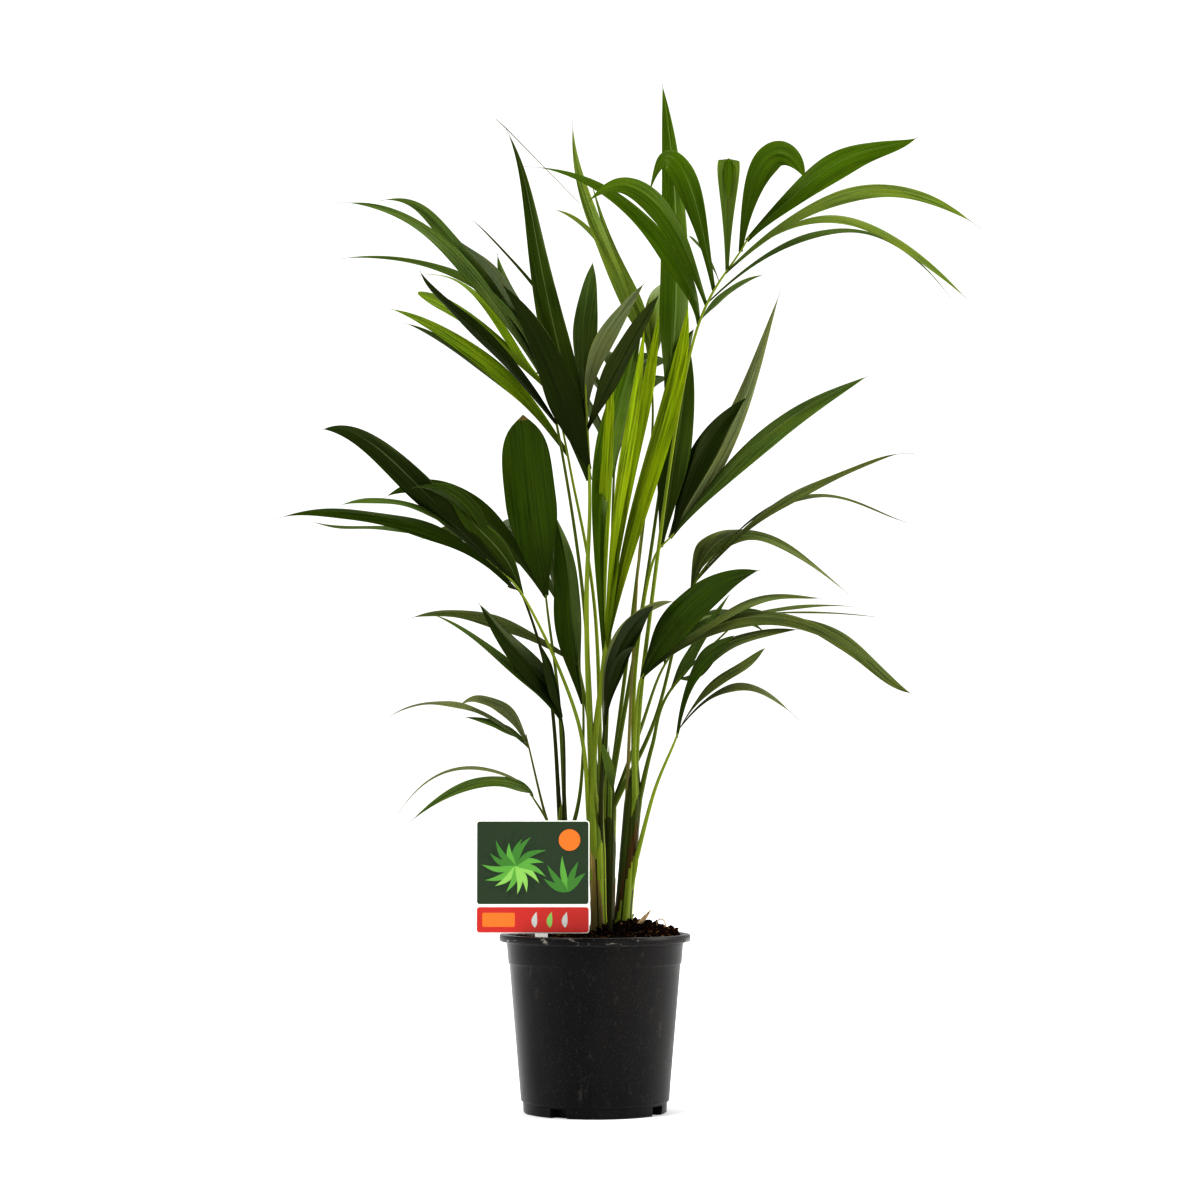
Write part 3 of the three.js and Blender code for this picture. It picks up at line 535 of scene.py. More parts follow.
def midline(frond):
    """The frond's points from its foot to the tip of its rib."""
    foot = np.array(frond.foot, float)
    if len(foot) == 2:
        _, top, _, top_radius = STEMS[frond.stem]
        turn = math.radians(foot[0])
        out = top_radius * foot[1]
        foot = np.array([top[0] + out * math.cos(turn), top[1] + out * math.sin(turn), top[2] + GAP])
    return [foot, *[np.array(p, float) for p in frond.bends]]


def course(points, leaf):
    """A leaflet's steps, midline, side, upper normal and half width, by the solids' rule, and its chord."""
    root = on_curve(points, len(points) - 2, leaf.along)
    turn = math.radians(leaf.turn)
    heading = np.array([math.cos(turn), math.sin(turn), 0.0])
    chord = heading * leaf.reach + np.array([0, 0, leaf.lift])
    length = np.linalg.norm(chord)
    level = np.array([-heading[1], heading[0], 0.0])
    above = np.cross(chord, level) / length
    bend = chord * (0.5 + leaf.hook) + above * 2 * leaf.arch
    s = np.linspace(0, 1, LEAFLET_STEPS + 1)[:, None]
    middle = root + bend * 2 * s * (1 - s) + chord * s * s
    middle = middle + above * (leaf.sway * np.sin(2 * math.pi * s) + leaf.curl * 1.72 * (s - s**6))
    middle = middle + level * leaf.bow * 4 * s * (1 - s)
    travel = unit(np.gradient(middle, axis=0))
    rise = unit(np.cross(travel, level))
    flat = np.cross(rise, travel)
    twist = np.radians(leaf.roll + leaf.twist * (s - 0.4))
    side = flat * np.cos(twist) + rise * np.sin(twist)
    normal = unit(np.cross(travel, side))
    share = 0.08 + 0.92 * smooth((s + 0.06) / (leaf.peak + 0.06))
    share = share * (1 - np.clip(s / (1 - leaf.tail), 0, 1) ** leaf.taper)
    half = leaf.width / 2 * share + 0.4 * (1 - 0.7 * s)
    return s, middle, side, normal, half, length


def leaflet(mesh, points, leaf, tone, rng, front):
    """One leaflet's two faces: pleated, folded along its midrib, with a dry tip.

    The upper face looks to the front, or up where the leaflet lies nearly flat, and up on the fronds
    behind.
    """
    s, middle, side, normal, half, length = course(points, leaf)
    tone = leaf.tone or tone
    sight = normal[int(LEAFLET_STEPS * 0.4)]
    facing = -sight[1] if front and abs(sight[2]) < 0.8 else sight[2]
    if (facing < 0) != leaf.under:
        side, normal = -side, -normal
    fold = math.radians(leaf.fold + rng.uniform(-3, 3))
    wave = rng.uniform(0.5, 1.3) * np.sin(2 * math.pi * (rng.uniform(1.6, 2.6) * s + rng.uniform(0, 1)))
    a = COLUMNS[None, :]
    fullness = np.clip(half / 9, 0.05, 1.15)
    height = -np.abs(a) * half * math.tan(fold) + RIDGE[None, :] * fullness
    height = height + wave * a * np.abs(a) * fullness * rng.choice([-1.0, 1.0])
    thick = (0.32 + 0.3 * np.exp(-((a / 0.12) ** 2))) * (1 - np.abs(a))
    thick = thick * np.clip(fullness * 1.4, 0.3, 1) + 0.1
    out = (a * half * math.cos(fold))[..., None]
    top = middle[:, None] + side[:, None] * out + normal[:, None] * (height + thick / 2)[..., None]
    low = middle[:, None] + side[:, None] * out + normal[:, None] * (height - thick / 2)[..., None]
    rows, columns = top.shape[:2]
    start = mesh.add_points(top)
    upper = start + np.arange(rows * columns).reshape(rows, columns)
    start = mesh.add_points(low[:, 1:-1])
    lower = upper.copy()
    lower[:, 1:-1] = start + np.arange(rows * (columns - 2)).reshape(rows, columns - 2)
    centre = np.abs((COLUMNS[1:] + COLUMNS[:-1]) / 2)[None, :]
    part = (s[1:] + s[:-1]) / 2
    dry = 1 - max(0.02, leaf.tail) * rng.uniform(0.6, 1.2)
    for index, face, turned in ((upper, "upper", False), (lower, "under", True)):
        slots = np.full((rows - 1, columns - 1), mesh.slot(f"{tone}_{face}"))
        slots[(centre < 0.035) & (part < 0.9)] = mesh.slot(f"{tone}_midrib")
        slots[np.broadcast_to(part > dry, slots.shape)] = mesh.slot("dry_tip")
        across = a * half
        along = np.broadcast_to(s * length, across.shape)
        strip = mesh.strip(float(2 * half.max()), float(length))
        if turned:
            index, across, along = index[:, ::-1], across[:, ::-1], along[:, ::-1]
            slots = slots[:, ::-1]
        mesh.grid(index, across, along, slots, strip, rng.uniform(0, 40), turned)
    cap = np.stack([upper[0], lower[0]])
    flat = np.zeros(cap.shape)
    mesh.grid(cap[:, ::-1], flat, flat, np.full((1, columns - 1), mesh.slot(f"{tone}_under")), strip, 0.0)
    cap = np.stack([upper[-1], lower[-1]])
    mesh.grid(cap, flat, flat, np.full((1, columns - 1), mesh.slot("dry_tip")), strip, 0.0)


def rod(mesh, points, radii, slots, rng, sides=14, ridges=0.05, groove=0.0):
    """A tapering rod through points; slots has one name for each row of faces or one for all."""
    rows = len(points)
    travel = unit(np.gradient(points, axis=0))
    side = unit(np.array([1.0, 0, 0]) - travel * travel[:, :1])
    other = np.cross(travel, side)
    turn = np.linspace(0, 2 * math.pi, sides + 1)[None, :]
    wave = 1 + ridges * np.sin(5 * turn + 0.7) + ridges * 0.6 * np.sin(9 * turn)
    radii = np.asarray(radii, float)
    radii = radii[:, None] if radii.ndim == 1 else radii
    reach = radii * wave * (1 - groove * np.exp(-(((turn - 1.5 * math.pi) / 0.5) ** 2)))
    shell = (
        points[:, None]
        + side[:, None] * (reach * np.cos(turn))[..., None]
        + other[:, None] * (reach * np.sin(turn))[..., None]
    )[:, :-1]
    start = mesh.add_points(shell)
    index = start + np.arange(rows * sides).reshape(rows, sides)
    index = np.concatenate([index, index[:, :1]], 1)
    span = np.linalg.norm(np.diff(points, axis=0), axis=1)
    along = np.broadcast_to(np.concatenate([[0], np.cumsum(span)])[:, None], (rows, sides + 1))
    across = np.broadcast_to(turn * radii.mean(), (rows, sides + 1))
    strip = mesh.strip(float(across.max()), float(along.max()))
    names = [slots] * (rows - 1) if isinstance(slots, str) else slots
    if isinstance(names[0], str):
        kinds = np.array([[mesh.slot(n)] * sides for n in names])
    else:
        kinds = np.array([[mesh.slot(n) for n in line] for line in names])
    mesh.grid(index[:, ::-1], across[:, ::-1], along, kinds[:, ::-1], strip, rng.uniform(0, 40))
    for end, order in ((0, 1), (rows - 1, -1)):
        face = [int(k) for k in index[end, :-1]][::order]
        mesh.faces.append(face)
        mesh.slots.append(int(kinds[min(end, rows - 2), 0]))
        for _ in face:
            mesh.leaf_uv.append((0.0, 0.0))
            mesh.place_uv.append((0.0, 0.5))
            mesh.bake_uv.append((0.0, 0.0))
            mesh.bake_strip.append(strip)


def finished(piece, slot, *nodes):
    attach(piece, "root")
    if nodes:
        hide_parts(*nodes)


SOIL_EDGE_Z = 160.0  # the soil along the wall of the pot
BURIED = 46.0  # how far down inside its stem a stalk begins
FOOT_SWELL = 0.8  # how much a stalk swells at its foot
FOOT_SWELL_REACH = 40.0
STALK_STEPS = 18  # for each piece of the line
THREAD_POINTS = 12
FROND_SEED = 100


def rooted(frond, line):
    """The stalk's line led down from its foot into the sheaths of its stem."""
    if frond.stem is None:
        return line, 0
    low, high, _, _ = STEMS[frond.stem]
    climb = np.linspace(0, 1, 12)[:-1, None]
    height = line[0, 2] - BURIED * (1 - climb)
    slope = (np.array(high[:2]) - low) / (high[2] - SOIL_EDGE_Z)
    axis = np.array(high[:2]) + slope * (height - high[2])
    out = line[0, :2] - (np.array(high[:2]) + slope * (line[0, 2] - high[2]))
    below = np.concatenate([axis + out * (0.3 + 0.7 * smooth(climb)), height], axis=1)
    return np.concatenate([below, line]), len(below)


YOUNG = ("frond_upper_pale", "young_fan", "frond_left_bright")


def stalk_line(points):
    """The stalk's and rib's line through the frond's points."""
    pieces = range(len(points) - 1)
    parts = np.linspace(0, 1, STALK_STEPS + 1)[:-1]
    return np.array([on_curve(points, piece, part) for piece in pieces for part in parts] + [points[-1]])


def build_frond(name, frond, rng):
    points = midline(frond)
    blades = Strips()
    for leaf in frond.leaflets:
        leaflet(blades, points, leaf, frond.tone, rng, not name.startswith("frond_back"))
    for number, leaf in enumerate(frond.leaflets):
        away = np.linspace(0, 1, THREAD_POINTS)[:, None]
        for way in leaf.threads:
            _, middle, *_ = course(points, leaf)
            line = middle[-1] + away * way
            radii = np.linspace(0.4, 0.2, THREAD_POINTS)
            rod(blades, line, radii, "dry_tip", np.random.default_rng(number), sides=4)
    stalk = Strips()
    line = stalk_line(points)
    share = np.linspace(0, 1, len(line))
    line, more = rooted(frond, line)
    share = np.concatenate([np.zeros(more), share])
    away = np.concatenate([[0], np.cumsum(np.linalg.norm(np.diff(line, axis=0), axis=1))])
    swell = 1 + FOOT_SWELL * np.exp(-away / FOOT_SWELL_REACH)
    radii = frond.radius * (1 - (1 - RIB_TIP_SHARE) * share) * swell
    rod(stalk, line, radii, f"stalk_{frond.stalk}", rng, groove=0.12)
    short = name.replace("frond_", "")
    slot = "dry_petiole" if name == "dry_petiole" else "young_fronds" if name in YOUNG else "fronds"
    if frond.leaflets:
        finished(blades.object(f"leaflets_{short}", LEAF_MATERIALS), slot, name)
        lower = f"petiole_{short}"
        nodes = (lower,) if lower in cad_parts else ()
        finished(stalk.object(f"stalk_{short}", LEAF_MATERIALS), "petioles", *nodes)
    else:
        finished(stalk.object(f"stalk_{short}", LEAF_MATERIALS), slot, name)


for number, (name, frond) in enumerate(FRONDS.items()):
    build_frond(name, frond, np.random.default_rng(FROND_SEED + number))


# ---------------------------------------------------------------- stems
STEM_SIDES = 32
FLARE = 0.28
FLARE_HEIGHT = 22.0
SHEATH_THICK = 0.55
SHEATH_INSET = 0.8
SUNK = 4.0  # how far a stem's foot lies under the soil's top
SPEAR = 60.0  # how far the innermost sheath runs on among the stalks
# Sheaths of each stem: height of the opening above the foot, its side, its slope and its colour.
SHEATHS = {
    "stem_centre": [
        (34, 205, 62, "sheath_tan"), (60, 330, 30, "stalk_bright"), (140, 120, 30, "sheath_green"),
    ],
    "stem_right": [
        (22, 335, 52, "stalk_bright"), (40, 325, 60, "sheath_brown"), (150, 160, 30, "sheath_dark"),
    ],
    "stem_left": [
        (40, 240, 18, "sheath_tan"), (66, 60, 20, "sheath_green"), (120, 150, 26, "sheath_green"),
    ],
    "stem_back": [
        (50, 90, 20, "sheath_brown"), (84, 280, 26, "sheath_dark"), (150, 20, 30, "sheath_green"),
    ],
}


def stem(name):
    rng = np.random.default_rng(len(name) + 7)
    foot, top, radius, top_radius = STEMS[name]
    low = np.array([*foot, soil_top(*foot) - SUNK])
    high = np.array(top, float)
    height = high[2] - low[2]
    rise = np.concatenate([np.linspace(0, height, 60), height + np.linspace(1, SPEAR, 18)])
    points = low + (high - low) * (rise / height)[:, None]
    turn = np.linspace(0, 2 * math.pi, STEM_SIDES + 1)[None, :]
    up = rise[:, None]
    body = radius + (top_radius - radius) * np.clip(up / height, 0, 1)
    body = body * (1 + FLARE * np.clip(1 - up / FLARE_HEIGHT, 0, 1) ** 2)
    body = body * (1 - 0.9 * smooth((up - height + 8) / (SPEAR + 6)))
    wraps = np.zeros((len(rise), STEM_SIDES + 1))
    kinds = np.full((len(rise) - 1, STEM_SIDES), "sheath_green", dtype=object)
    for level, side, slope, kind in reversed(SHEATHS[name]):
        edge = level + slope * np.cos(turn - math.radians(side))
        inside = smooth((edge - up) / 3.0)
        wraps += SHEATH_THICK * inside * (1 + 0.25 * np.sin(turn * 7 + side))
        below = (edge[:, :-1] > up[:-1]) & (edge[:, 1:] > up[:-1])
        kinds[below] = kind
    # Painted shade: narrow dark lines in the troughs between the sheath ridges, where the petioles meet.
    shaded_grooves = np.sin(5 * turn[0, :-1] + 0.9) < -0.75
    kinds[:, shaded_grooves] = "stalk_dark"
    mesh = Strips()
    rod(mesh, points, body - SHEATH_INSET + wraps, kinds.tolist(), rng, sides=STEM_SIDES, ridges=0.07)
    finished(mesh.object(name + "_sheaths", LEAF_MATERIALS), "stems", name)


# ---------------------------------------------------------------- soil
SOIL_RADIUS = 80.8
HEAP = 17.0
HEAP_SPREAD = 46.0
HEAP_X = 34.0
HEAP_Y = 10.0
SOIL_WALL = [(60.0, 20.0), (72.0, 70.0), (78.0, 130.0)]  # radius and height inside the pot
SOIL_RINGS = 64
SOIL_SIDES = 150
CRUMBS = 2600
CRUMB_SPREAD = 50.0  # how far from the heap the crumbs are larger
FIBRES = 420
FIBRE_SPREAD = 76.0
FIBRE_LIMIT = 79.0  # no fibre reaches further out
FIBRE_TAPER = np.array([0.5, 0.9, 1, 1, 0.8, 0.3])
ROOT_X = 62.0
ROOT_Y = -5.0
SCALE_X = 39.0
SCALE_Y = -8.0
OCTAHEDRON = np.array([(1, 0, 0), (-1, 0, 0), (0, 1, 0), (0, -1, 0), (0, 0, 1), (0, 0, -1)], float)
OCTAHEDRON_FACES = [(0, 2, 4), (2, 1, 4), (1, 3, 4), (3, 0, 4), (2, 0, 5), (1, 2, 5), (3, 1, 5), (0, 3, 5)]


def lumps(x, y, seed, size, count=9):
    """Smooth bumps of about the given size, between -1 and 1."""
    rng = np.random.default_rng(seed)
    total = 0
    for _ in range(count):
        turn = rng.uniform(0, 2 * math.pi)
        pace = rng.uniform(0.7, 1.5) * 2 * math.pi / size
        total = total + np.sin(pace * (x * math.cos(turn) + y * math.sin(turn)) + rng.uniform(0, 7))
    return total / count * 1.8


def soil_top(x, y):
    away = ((x - HEAP_X) ** 2 + (y - HEAP_Y) ** 2) / HEAP_SPREAD**2
    return SOIL_EDGE_Z + HEAP * np.exp(-away) + 1.2 * np.sin(x / 9) * np.cos(y / 8)


def grain(x, y):
    return soil_top(x, y) + 1.4 * lumps(x, y, 3, 17) + 0.9 * lumps(x, y, 4, 7) + 0.6 * lumps(x, y, 5, 3.2)


def plain_object(name, points, faces, kinds, materials, angle=None):
    """A mesh from points in millimetres, with one material index for each face."""
    mesh = bpy.data.meshes.new(name)
    mesh.from_pydata((np.asarray(points, float) * MM).tolist(), [], faces)
    for made in materials:
        mesh.materials.append(made)
    mesh.polygons.foreach_set("material_index", kinds)
    if angle is None:
        mesh.shade_flat()
    else:
        mesh.shade_smooth()
        mesh.set_sharp_from_angle(angle=math.radians(angle))
    return placed(name, mesh)


def peat_material(name, dark, light, scale):
    made = Shader(name, Specular_IOR_Level=0.05, Roughness=0.95)
    grains = made.noise(made.place(), scale, 5.0, 0.7)
    colour = made.mix(made.span(grains, 0.35, 0.68), rgba(dark), rgba(light))
    made.feed(colour, "Base Color")
    made.bump(grains, 0.9, 0.002)
    return made.material


PEAT = [
    peat_material("peat_dark", "090604", "1c120b", 420),
    peat_material("peat_brown", "150d08", "322014", 600),
    peat_material("peat_red", "321b0e", "5a341b", 500),
    peat_material("peat_tan", "5a4226", "8a6c46", 300),
]


def revolve(rows, turns):
    """Points of a surface of revolution: rows of (radius, z) turned to each angle."""
    radius, z = np.array(rows).T[..., None]
    return np.stack([radius * np.cos(turns), radius * np.sin(turns), z + 0 * turns], -1)


def round_faces(rows, sides):
    """Faces round a surface of revolution, then the one that closes its last row, and its first row's."""
    index = np.arange(rows * sides).reshape(rows, sides)
    after = np.roll(index, -1, axis=1)
    quads = np.stack([index[:-1], after[:-1], after[1:], index[1:]], -1)
    return quads.reshape(-1, 4).tolist(), index[-1].tolist(), index[0, ::-1].tolist()


def soil():
    turns = np.linspace(0, 2 * math.pi, SOIL_SIDES, endpoint=False)
    radius = SOIL_RADIUS * np.linspace(1, 0.004, SOIL_RINGS) ** 0.85
    x = radius[:, None] * np.cos(turns)
    y = radius[:, None] * np.sin(turns)
    z = grain(x, y)
    z[0] = np.minimum(z[0], SOIL_EDGE_Z + 0.5)
    shell = np.stack([x, y, z], -1)
    points = np.concatenate([revolve(SOIL_WALL, turns[None, :]), shell])
    around, top, foot = round_faces(len(points), SOIL_SIDES)
    faces = [*around, top, foot]
    made = plain_object("soil_bed", points.reshape(-1, 3), faces, [0] * len(faces), PEAT[:1], 60)
    finished(made, "soil", "soil")


def crumbs(rng):
    """Loose crumbs of peat and bark over the soil."""
    points, faces, kinds = [], [], []
    for _ in range(CRUMBS):
        out, turn = SOIL_RADIUS * math.sqrt(rng.uniform(0, 0.98)) * 0.985, rng.uniform(0, 2 * math.pi)
        x, y = out * math.cos(turn), out * math.sin(turn)
        near = math.exp(-((x - HEAP_X) ** 2 + (y - HEAP_Y) ** 2) / CRUMB_SPREAD**2)
        size = rng.uniform(0.7, 2.2) * (1 + 0.9 * near * rng.uniform(0, 1))
        stretch = np.array([rng.uniform(0.6, 1.6), rng.uniform(0.5, 1.1), rng.uniform(0.4, 0.9)]) * size
        spin = np.linalg.qr(rng.normal(size=(3, 3)))[0]
        spin = spin * np.sign(np.linalg.det(spin))
        body = (OCTAHEDRON * (1 + rng.uniform(-0.25, 0.25, (6, 1))) * stretch) @ spin.T
        start = len(points)
        points.extend(body + np.array([x, y, grain(x, y) + 0.35 * size]))
        kind = rng.choice(4, p=[0.55, 0.33, 0.09, 0.03])
        for side in OCTAHEDRON_FACES:
            faces.append([start + k for k in side])
            kinds.append(int(kind))
    finished(plain_object("soil_crumbs", points, faces, kinds, PEAT), "soil")


def fibres(rng):
    """Fibres on the soil, one curly root and one dry scale."""
    mesh = Strips()
    for _ in range(FIBRES):
        out, turn = FIBRE_SPREAD * math.sqrt(rng.uniform(0, 1)), rng.uniform(0, 2 * math.pi)
        x, y = out * math.cos(turn), out * math.sin(turn)
        reach = rng.uniform(4, 13)
        way = rng.uniform(0, 2 * math.pi)
        bow = rng.uniform(-0.5, 0.5)
        t = np.linspace(-0.5, 0.5, 6)[:, None]
        east = x + reach * t * math.cos(way) - reach * bow * t * t * math.sin(way)
        north = y + reach * t * math.sin(way) + reach * bow * t * t * math.cos(way)
        line = np.concatenate([east, north, t * 0], 1)
        over = np.hypot(line[:, 0], line[:, 1])
        line[:, :2] *= np.minimum(1, FIBRE_LIMIT / over)[:, None]
        line[:, 2] = grain(line[:, 0], line[:, 1]) + rng.uniform(0.4, 2.2) * np.cos(t[:, 0] * 2.6)
        thick = rng.uniform(0.16, 0.4)
        kind = "red" if rng.uniform() < 0.7 else "tan"
        rod(mesh, line, thick * FIBRE_TAPER, kind, rng, sides=4)
    turn = np.linspace(-0.6, 1.2, 14) * math.pi
    height = grain(ROOT_X, ROOT_Y) + 4.4 + 4.8 * np.sin(turn)
    root = np.stack([ROOT_X + 4 * np.cos(turn), ROOT_Y + turn, height], 1)
    rod(mesh, root, np.linspace(0.8, 0.5, len(turn)), "dry", rng, sides=5)
    away = np.linspace(0, 1, 10)[:, None]
    foot = np.array([SCALE_X, SCALE_Y, grain(SCALE_X, SCALE_Y) - 1])
    scale = foot + away * (14, -2, 13) + away**2 * (0, 0, 3)
    rod(mesh, scale, 2.1 * np.sin(math.pi * away[:, 0] ** 0.7) + 0.15, "dry", rng, sides=6)
    dry = peat_material("peat_dry", "8a7454", "c8b490", 300)
    finished(mesh.object("soil_fibres", {"red": PEAT[2], "tan": PEAT[3], "dry": dry}), "soil")


def litter():
    rng = np.random.default_rng(22)
    crumbs(rng)
    fibres(rng)


# ---------------------------------------------------------------- pot
NOTCH_TURNS = (-120, -30, 60, 150)
NOTCH_HALF = 7.3  # degrees
NOTCH_SLOPE = 0.25  # degrees that each side of a notch takes
NOTCH_TOP = 8.45
NOTCH_RADIUS = 58.0
POT_STEP = 2.5  # degrees
LIP_FOOT = 158.0
# Radius and height, from the middle of the underside over the lip to the inner wall.
POT_OUTLINE = [
    (0.5, 1.4), (40.0, 1.4), (56.5, 1.4), (57.5, 0.4), (58.2, 0.0), (66.0, 0.0),
    (66.9, 0.8), (67.2, 3.0), (67.5, 8.4), (67.5, 8.5), (67.7, 9.6), (67.9, 10.4),
    (69.0, 10.9), (69.5, 11.6), (72.0, 40.0), (74.6, 70.0), (77.2, 100.0), (79.6, 128.0),
    (80.45, 137.6), (80.8, 138.3), (81.4, 139.0), (81.6, 140.0), (82.3, 149.0), (83.0, 156.4),
    (83.6, 157.6), (85.6, 158.6), (88.4, 159.0), (89.5, 159.6), (90.0, 160.8), (90.05, 162.6),
    (89.9, 164.4), (89.3, 165.5), (88.2, 166.0), (86.0, 166.05), (84.4, 165.7), (83.3, 164.8),
    (82.4, 162.4), (81.6, 158.5), (80.4, 150.0), (79.0, 138.0), (77.0, 120.0),
]


def pot_material():
    made = Shader("pot_plastic", Specular_IOR_Level=0.16, Sheen_Weight=0.1, Sheen_Roughness=0.45)
    cloudy = made.noise(made.place((1, 1, 0.2)), 16, 4.0, 0.6)
    marks = made.noise(made.place((1, 1, 0.55)), 120, 6.0, 0.75, 0.4)
    specks = made.noise(made.place(), 620, 3.0, 0.7)
    dust = made.span(cloudy, 0.42, 0.8, 0.0, 0.34)
    dusty = made.mix(dust, rgba("09090b"), rgba("37322d"))
    speckled = made.mix(made.span(specks, 0.58, 0.72, 0.0, 0.6), dusty, rgba("4a443e"))
    marked = made.mix(made.span(marks, 0.58, 0.74, 0.0, 0.6), speckled, rgba("45403b"))
    scuffs = made.noise(made.place((1, 1, 2)), 60, 3.0, 0.6)
    scuffed = made.mix(made.span(scuffs, 0.58, 0.66, 0.0, 0.85), marked, rgba("8c8880"))
    on_lip = made.span(made.axes()["Z"], LIP_FOOT * MM, (LIP_FOOT + 1) * MM)
    colour = made.mix(on_lip, marked, scuffed)
    made.feed(colour, "Base Color")
    made.feed(made.span(cloudy, 0.3, 0.75, 0.26, 0.48), "Roughness")
    made.bump(made.noise(made.place(), 700, 2.0), 0.06, 0.0004)
    return made.material


def apart(a, b):
    """Degrees between two turns."""
    return abs((a - b + 180) % 360 - 180)


def pot():
    edges = []
    for turn in NOTCH_TURNS:
        for half in (NOTCH_HALF, NOTCH_HALF + NOTCH_SLOPE):
            edges += [turn - half, turn + half]
    even = [a for a in np.arange(0, 360, POT_STEP) if min(apart(a, e) for e in edges) > 0.8]
    turns = np.radians(sorted([*[e % 360 for e in edges], *even]))
    notched = np.zeros(len(turns), bool)
    for turn in NOTCH_TURNS:
        notched |= apart(np.degrees(turns), turn) < NOTCH_HALF + NOTCH_SLOPE / 5
    points = revolve(POT_OUTLINE, turns[None, :])
    for i, (radius, z) in enumerate(POT_OUTLINE):
        if radius > NOTCH_RADIUS + 2 and z < NOTCH_TOP:
            cut = np.where(notched, NOTCH_RADIUS, radius)
            points[i, :, 0] = cut * np.cos(turns)
            points[i, :, 1] = cut * np.sin(turns)
    around, inner, under = round_faces(*points.shape[:2])
    faces = [under, *around, inner]
    made = plain_object("pot_shell", points.reshape(-1, 3), faces, [0] * len(faces), [pot_material()], 32)
    finished(made, "pot", "pot")


# ---------------------------------------------------------------- label
LABEL_X = -57.5
LABEL_Y = -49.0
LABEL_Z = 168.5
LABEL_WIDTH = 105.0
LABEL_HEIGHT = 104.0
# The drawing's places, across and up from the card's lower middle.
FAN = (-16, 62)
TUFT = (33, 38)
DISC_X, DISC_Z, DISC_RADIUS = 34, 86, 10
PRINTS = {
    "card": "e6e6e0", "field": "1f3516", "leaf_a": "3f7a2a", "leaf_b": "5c9a3c", "leaf_c": "86b85a",
    "red": "b8281e", "orange": "dd7420", "grey": "b9bcb6", "shade": "17300f",
}


def print_material(name, code):
    made = Shader("print_" + name, Specular_IOR_Level=0.45, Roughness=0.32)
    base = rgba(code)
    speck = made.noise(made.place(), 900, 2.0)
    colour = made.mix(made.span(speck, 0.3, 0.7), scaled(base, 0.92), scaled(base, 1.06))
    made.feed(colour, "Base Color")
    return made.material


def rounded(x0, z0, x1, z1, corner):
    """Outline of a rounded rectangle, counter-clockwise seen from the front."""
    outline = []
    for cx, cz, start in ((x1, z0, -90), (x1, z1, 0), (x0, z1, 90), (x0, z0, 180)):
        mx = cx - math.copysign(corner, cx - (x0 + x1) / 2)
        mz = cz - math.copysign(corner, cz - (z0 + z1) / 2)
        for a in np.radians(np.linspace(start, start + 90, 7)):
            outline.append((mx + corner * math.cos(a), mz + corner * math.sin(a)))
    return outline


def blade_shape(x, z, turn, reach, width, bow=0.12):
    """Outline of a plain pointed leaf from (x, z)."""
    t = np.linspace(0, 1, 9)
    wide = width / 2 * np.sin(math.pi * t**0.8)
    sway = bow * reach * np.sin(math.pi * t)
    a = math.radians(turn)
    along, across = (math.cos(a), math.sin(a)), (-math.sin(a), math.cos(a))

    def edge(outs):
        ways = zip(reach * t, outs)
        return [(x + p * along[0] + q * across[0], z + p * along[1] + q * across[1]) for p, q in ways]

    return edge(sway - wide)[:-1] + edge(sway + wide)[:0:-1]


def label():
    prints = {key: print_material(key, code) for key, code in PRINTS.items()}
    names = list(prints)
    points, faces, kinds = [], [], []

    def plate(outline, front, back, kind):
        """A flat plate standing at the label: outline in millimetres from the card's lower middle."""
        start = len(points)
        count = len(outline)
        for depth in (front, back):
            points.extend((LABEL_X + x, LABEL_Y + depth, LABEL_Z + z) for x, z in outline)
        faces.append([start + k for k in range(count)])
        faces.append([start + count + k for k in range(count)][::-1])
        for k in range(count):
            n = (k + 1) % count
            faces.append([start + n, start + k, start + count + k, start + count + n])
        kinds.extend([names.index(kind)] * (count + 2))

    half = LABEL_WIDTH / 2
    plate(rounded(-half, 0, half, LABEL_HEIGHT, 3), -0.45, 0.45, "card")
    plate([(2, -52), (8, -56.5), (14, -52), (14, 2), (2, 2)], -0.4, 0.4, "card")
    made = plain_object("label_card", points, faces, kinds, [prints[n] for n in names])
    finished(made, "label", "label")
    points, faces, kinds = [], [], []
    layer = iter(np.arange(-0.5, -3.0, -0.012))

    def printed(outline, kind):
        plate(outline, next(layer), -0.44, kind)

    printed(rounded(-half + 1, 27, half - 1, LABEL_HEIGHT - 1, 2.4), "field")
    rng = np.random.default_rng(31)
    for turn in range(0, 360, 18):
        printed(blade_shape(*FAN, turn + rng.uniform(-6, 6), rng.uniform(28, 34), 6.5), "shade")
    for turn in range(8, 368, 24):
        kind = ("leaf_a", "leaf_b", "leaf_c")[int(rng.integers(3))]
        printed(blade_shape(*FAN, turn + rng.uniform(-6, 6), rng.uniform(22, 33), 5.6), kind)
    for turn, reach in ((100, 34), (72, 30), (128, 32), (48, 24), (152, 26)):
        printed(blade_shape(*TUFT, turn, reach, 6.0, 0.05), "leaf_b" if turn % 8 else "leaf_a")
    turns = np.linspace(0, 2 * math.pi, 40, endpoint=False)
    disc = [(DISC_X + DISC_RADIUS * math.cos(a), DISC_Z + DISC_RADIUS * math.sin(a)) for a in turns]
    printed(disc, "orange")
    printed(rounded(-half + 1, 1, half - 1, 24, 2.4), "red")
    printed(rounded(-half + 6, 6, -half + 36, 19, 1.5), "orange")
    for k in range(3):
        printed(blade_shape(2 + 14 * k, 5, 84, 15, 5.5, 0.08), "leaf_c" if k == 1 else "grey")
    made = plain_object("label_print", points, faces, kinds, [prints[n] for n in names])
    finished(made, "label")


for name in STEMS:
    stem(name)
soil()
litter()
pot()
label()

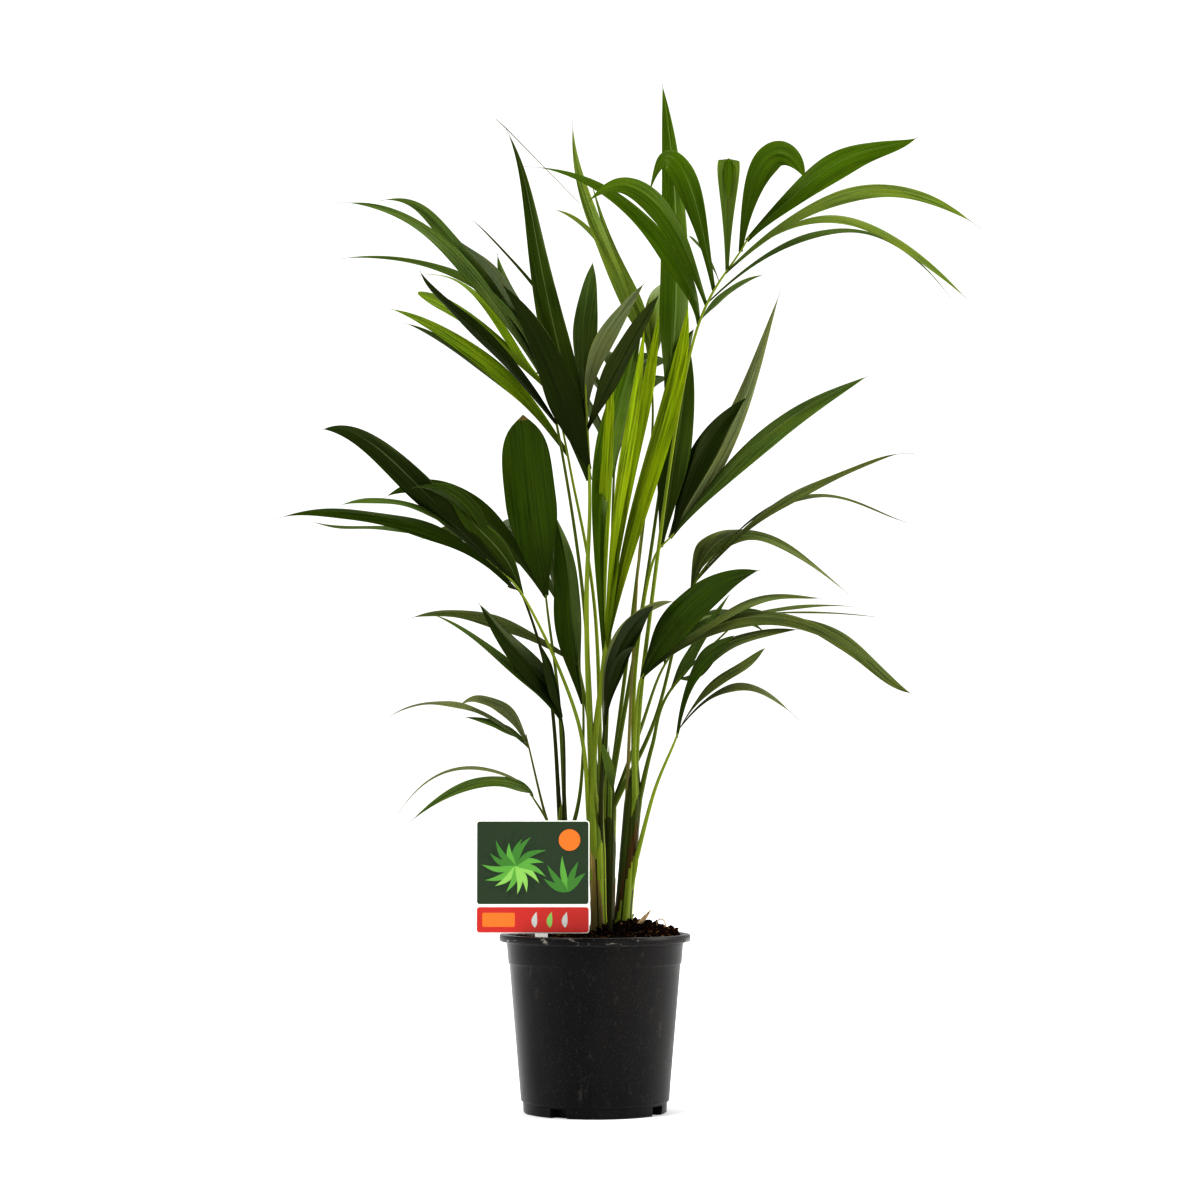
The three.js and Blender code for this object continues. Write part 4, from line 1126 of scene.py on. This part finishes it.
# ---------------------------------------------------------------- floor, light and camera
scene = bpy.context.scene
scene.view_settings.view_transform = "Standard"
scene.view_settings.look = "High Contrast"
floor_mesh = bpy.data.meshes.new("floor")
corners = [(x * FLOOR_HALF, y * FLOOR_HALF, 0) for x, y in ((-1, -1), (1, -1), (1, 1), (-1, 1))]
floor_mesh.from_pydata(corners, [], [[0, 1, 2, 3]])
paper = Shader("floor_paper", Base_Color=(0.96, 0.96, 0.96, 1.0), Roughness=0.9, Specular_IOR_Level=0.1)
floor_mesh.materials.append(paper.material)
floor = placed("floor", floor_mesh)

# The studio's walls are white up to WALL_TOP and dim from CEILING up, both as sines of the height.
WALL_TOP = 0.31
CEILING = 0.55
CEILING_SHARE = 0.3
world = bpy.data.worlds.new("studio")
world.use_nodes = True
sky = world.node_tree
height = sky.nodes.new("ShaderNodeSeparateXYZ")
sky.links.new(sky.nodes.new("ShaderNodeTexCoord").outputs["Generated"], height.inputs["Vector"])
fade = sky.nodes.new("ShaderNodeMapRange")
fade.interpolation_type = "SMOOTHSTEP"
fade_ends = (WALL_TOP, CEILING, WALL_STRENGTH, CEILING_SHARE)
for socket, number in zip(RANGE_SOCKETS, fade_ends):
    fade.inputs[socket].default_value = number
sky.links.new(height.outputs["Z"], fade.inputs["Value"])
sky.nodes["Background"].inputs["Color"].default_value = (1.0, 1.0, 1.0, 1.0)
sky.links.new(fade.outputs["Result"], sky.nodes["Background"].inputs["Strength"])
scene.world = world

# Soft lights from far off: turn from +X towards +Y, height above the floor and angle they fill, in
# degrees, and strength in watts a square metre.
SOFT_LIGHTS = {
    "key": (-140, 50, 30, 1.6),
    "side": (-5, 24, 30, 2.2),
    "rim": (100, 60, 50, 0.8),
}
for name, (turn, height, spread, strength) in SOFT_LIGHTS.items():
    lamp = bpy.data.lights.new(name, "SUN")
    lamp.angle = math.radians(spread)
    lamp.energy = strength
    placed(name, lamp).rotation_euler = (math.radians(90 - height), 0.0, math.radians(turn + 90))

lens = bpy.data.cameras.new("camera")
lens.lens = CAMERA_LENS
lens.sensor_width = SENSOR
camera = placed("camera", lens)
camera.location = (CAMERA_X * MM, CAMERA_Y * MM, CAMERA_Z * MM)
camera.rotation_euler = (math.radians(90 + CAMERA_TILT), 0.0, 0.0)
scene.camera = camera
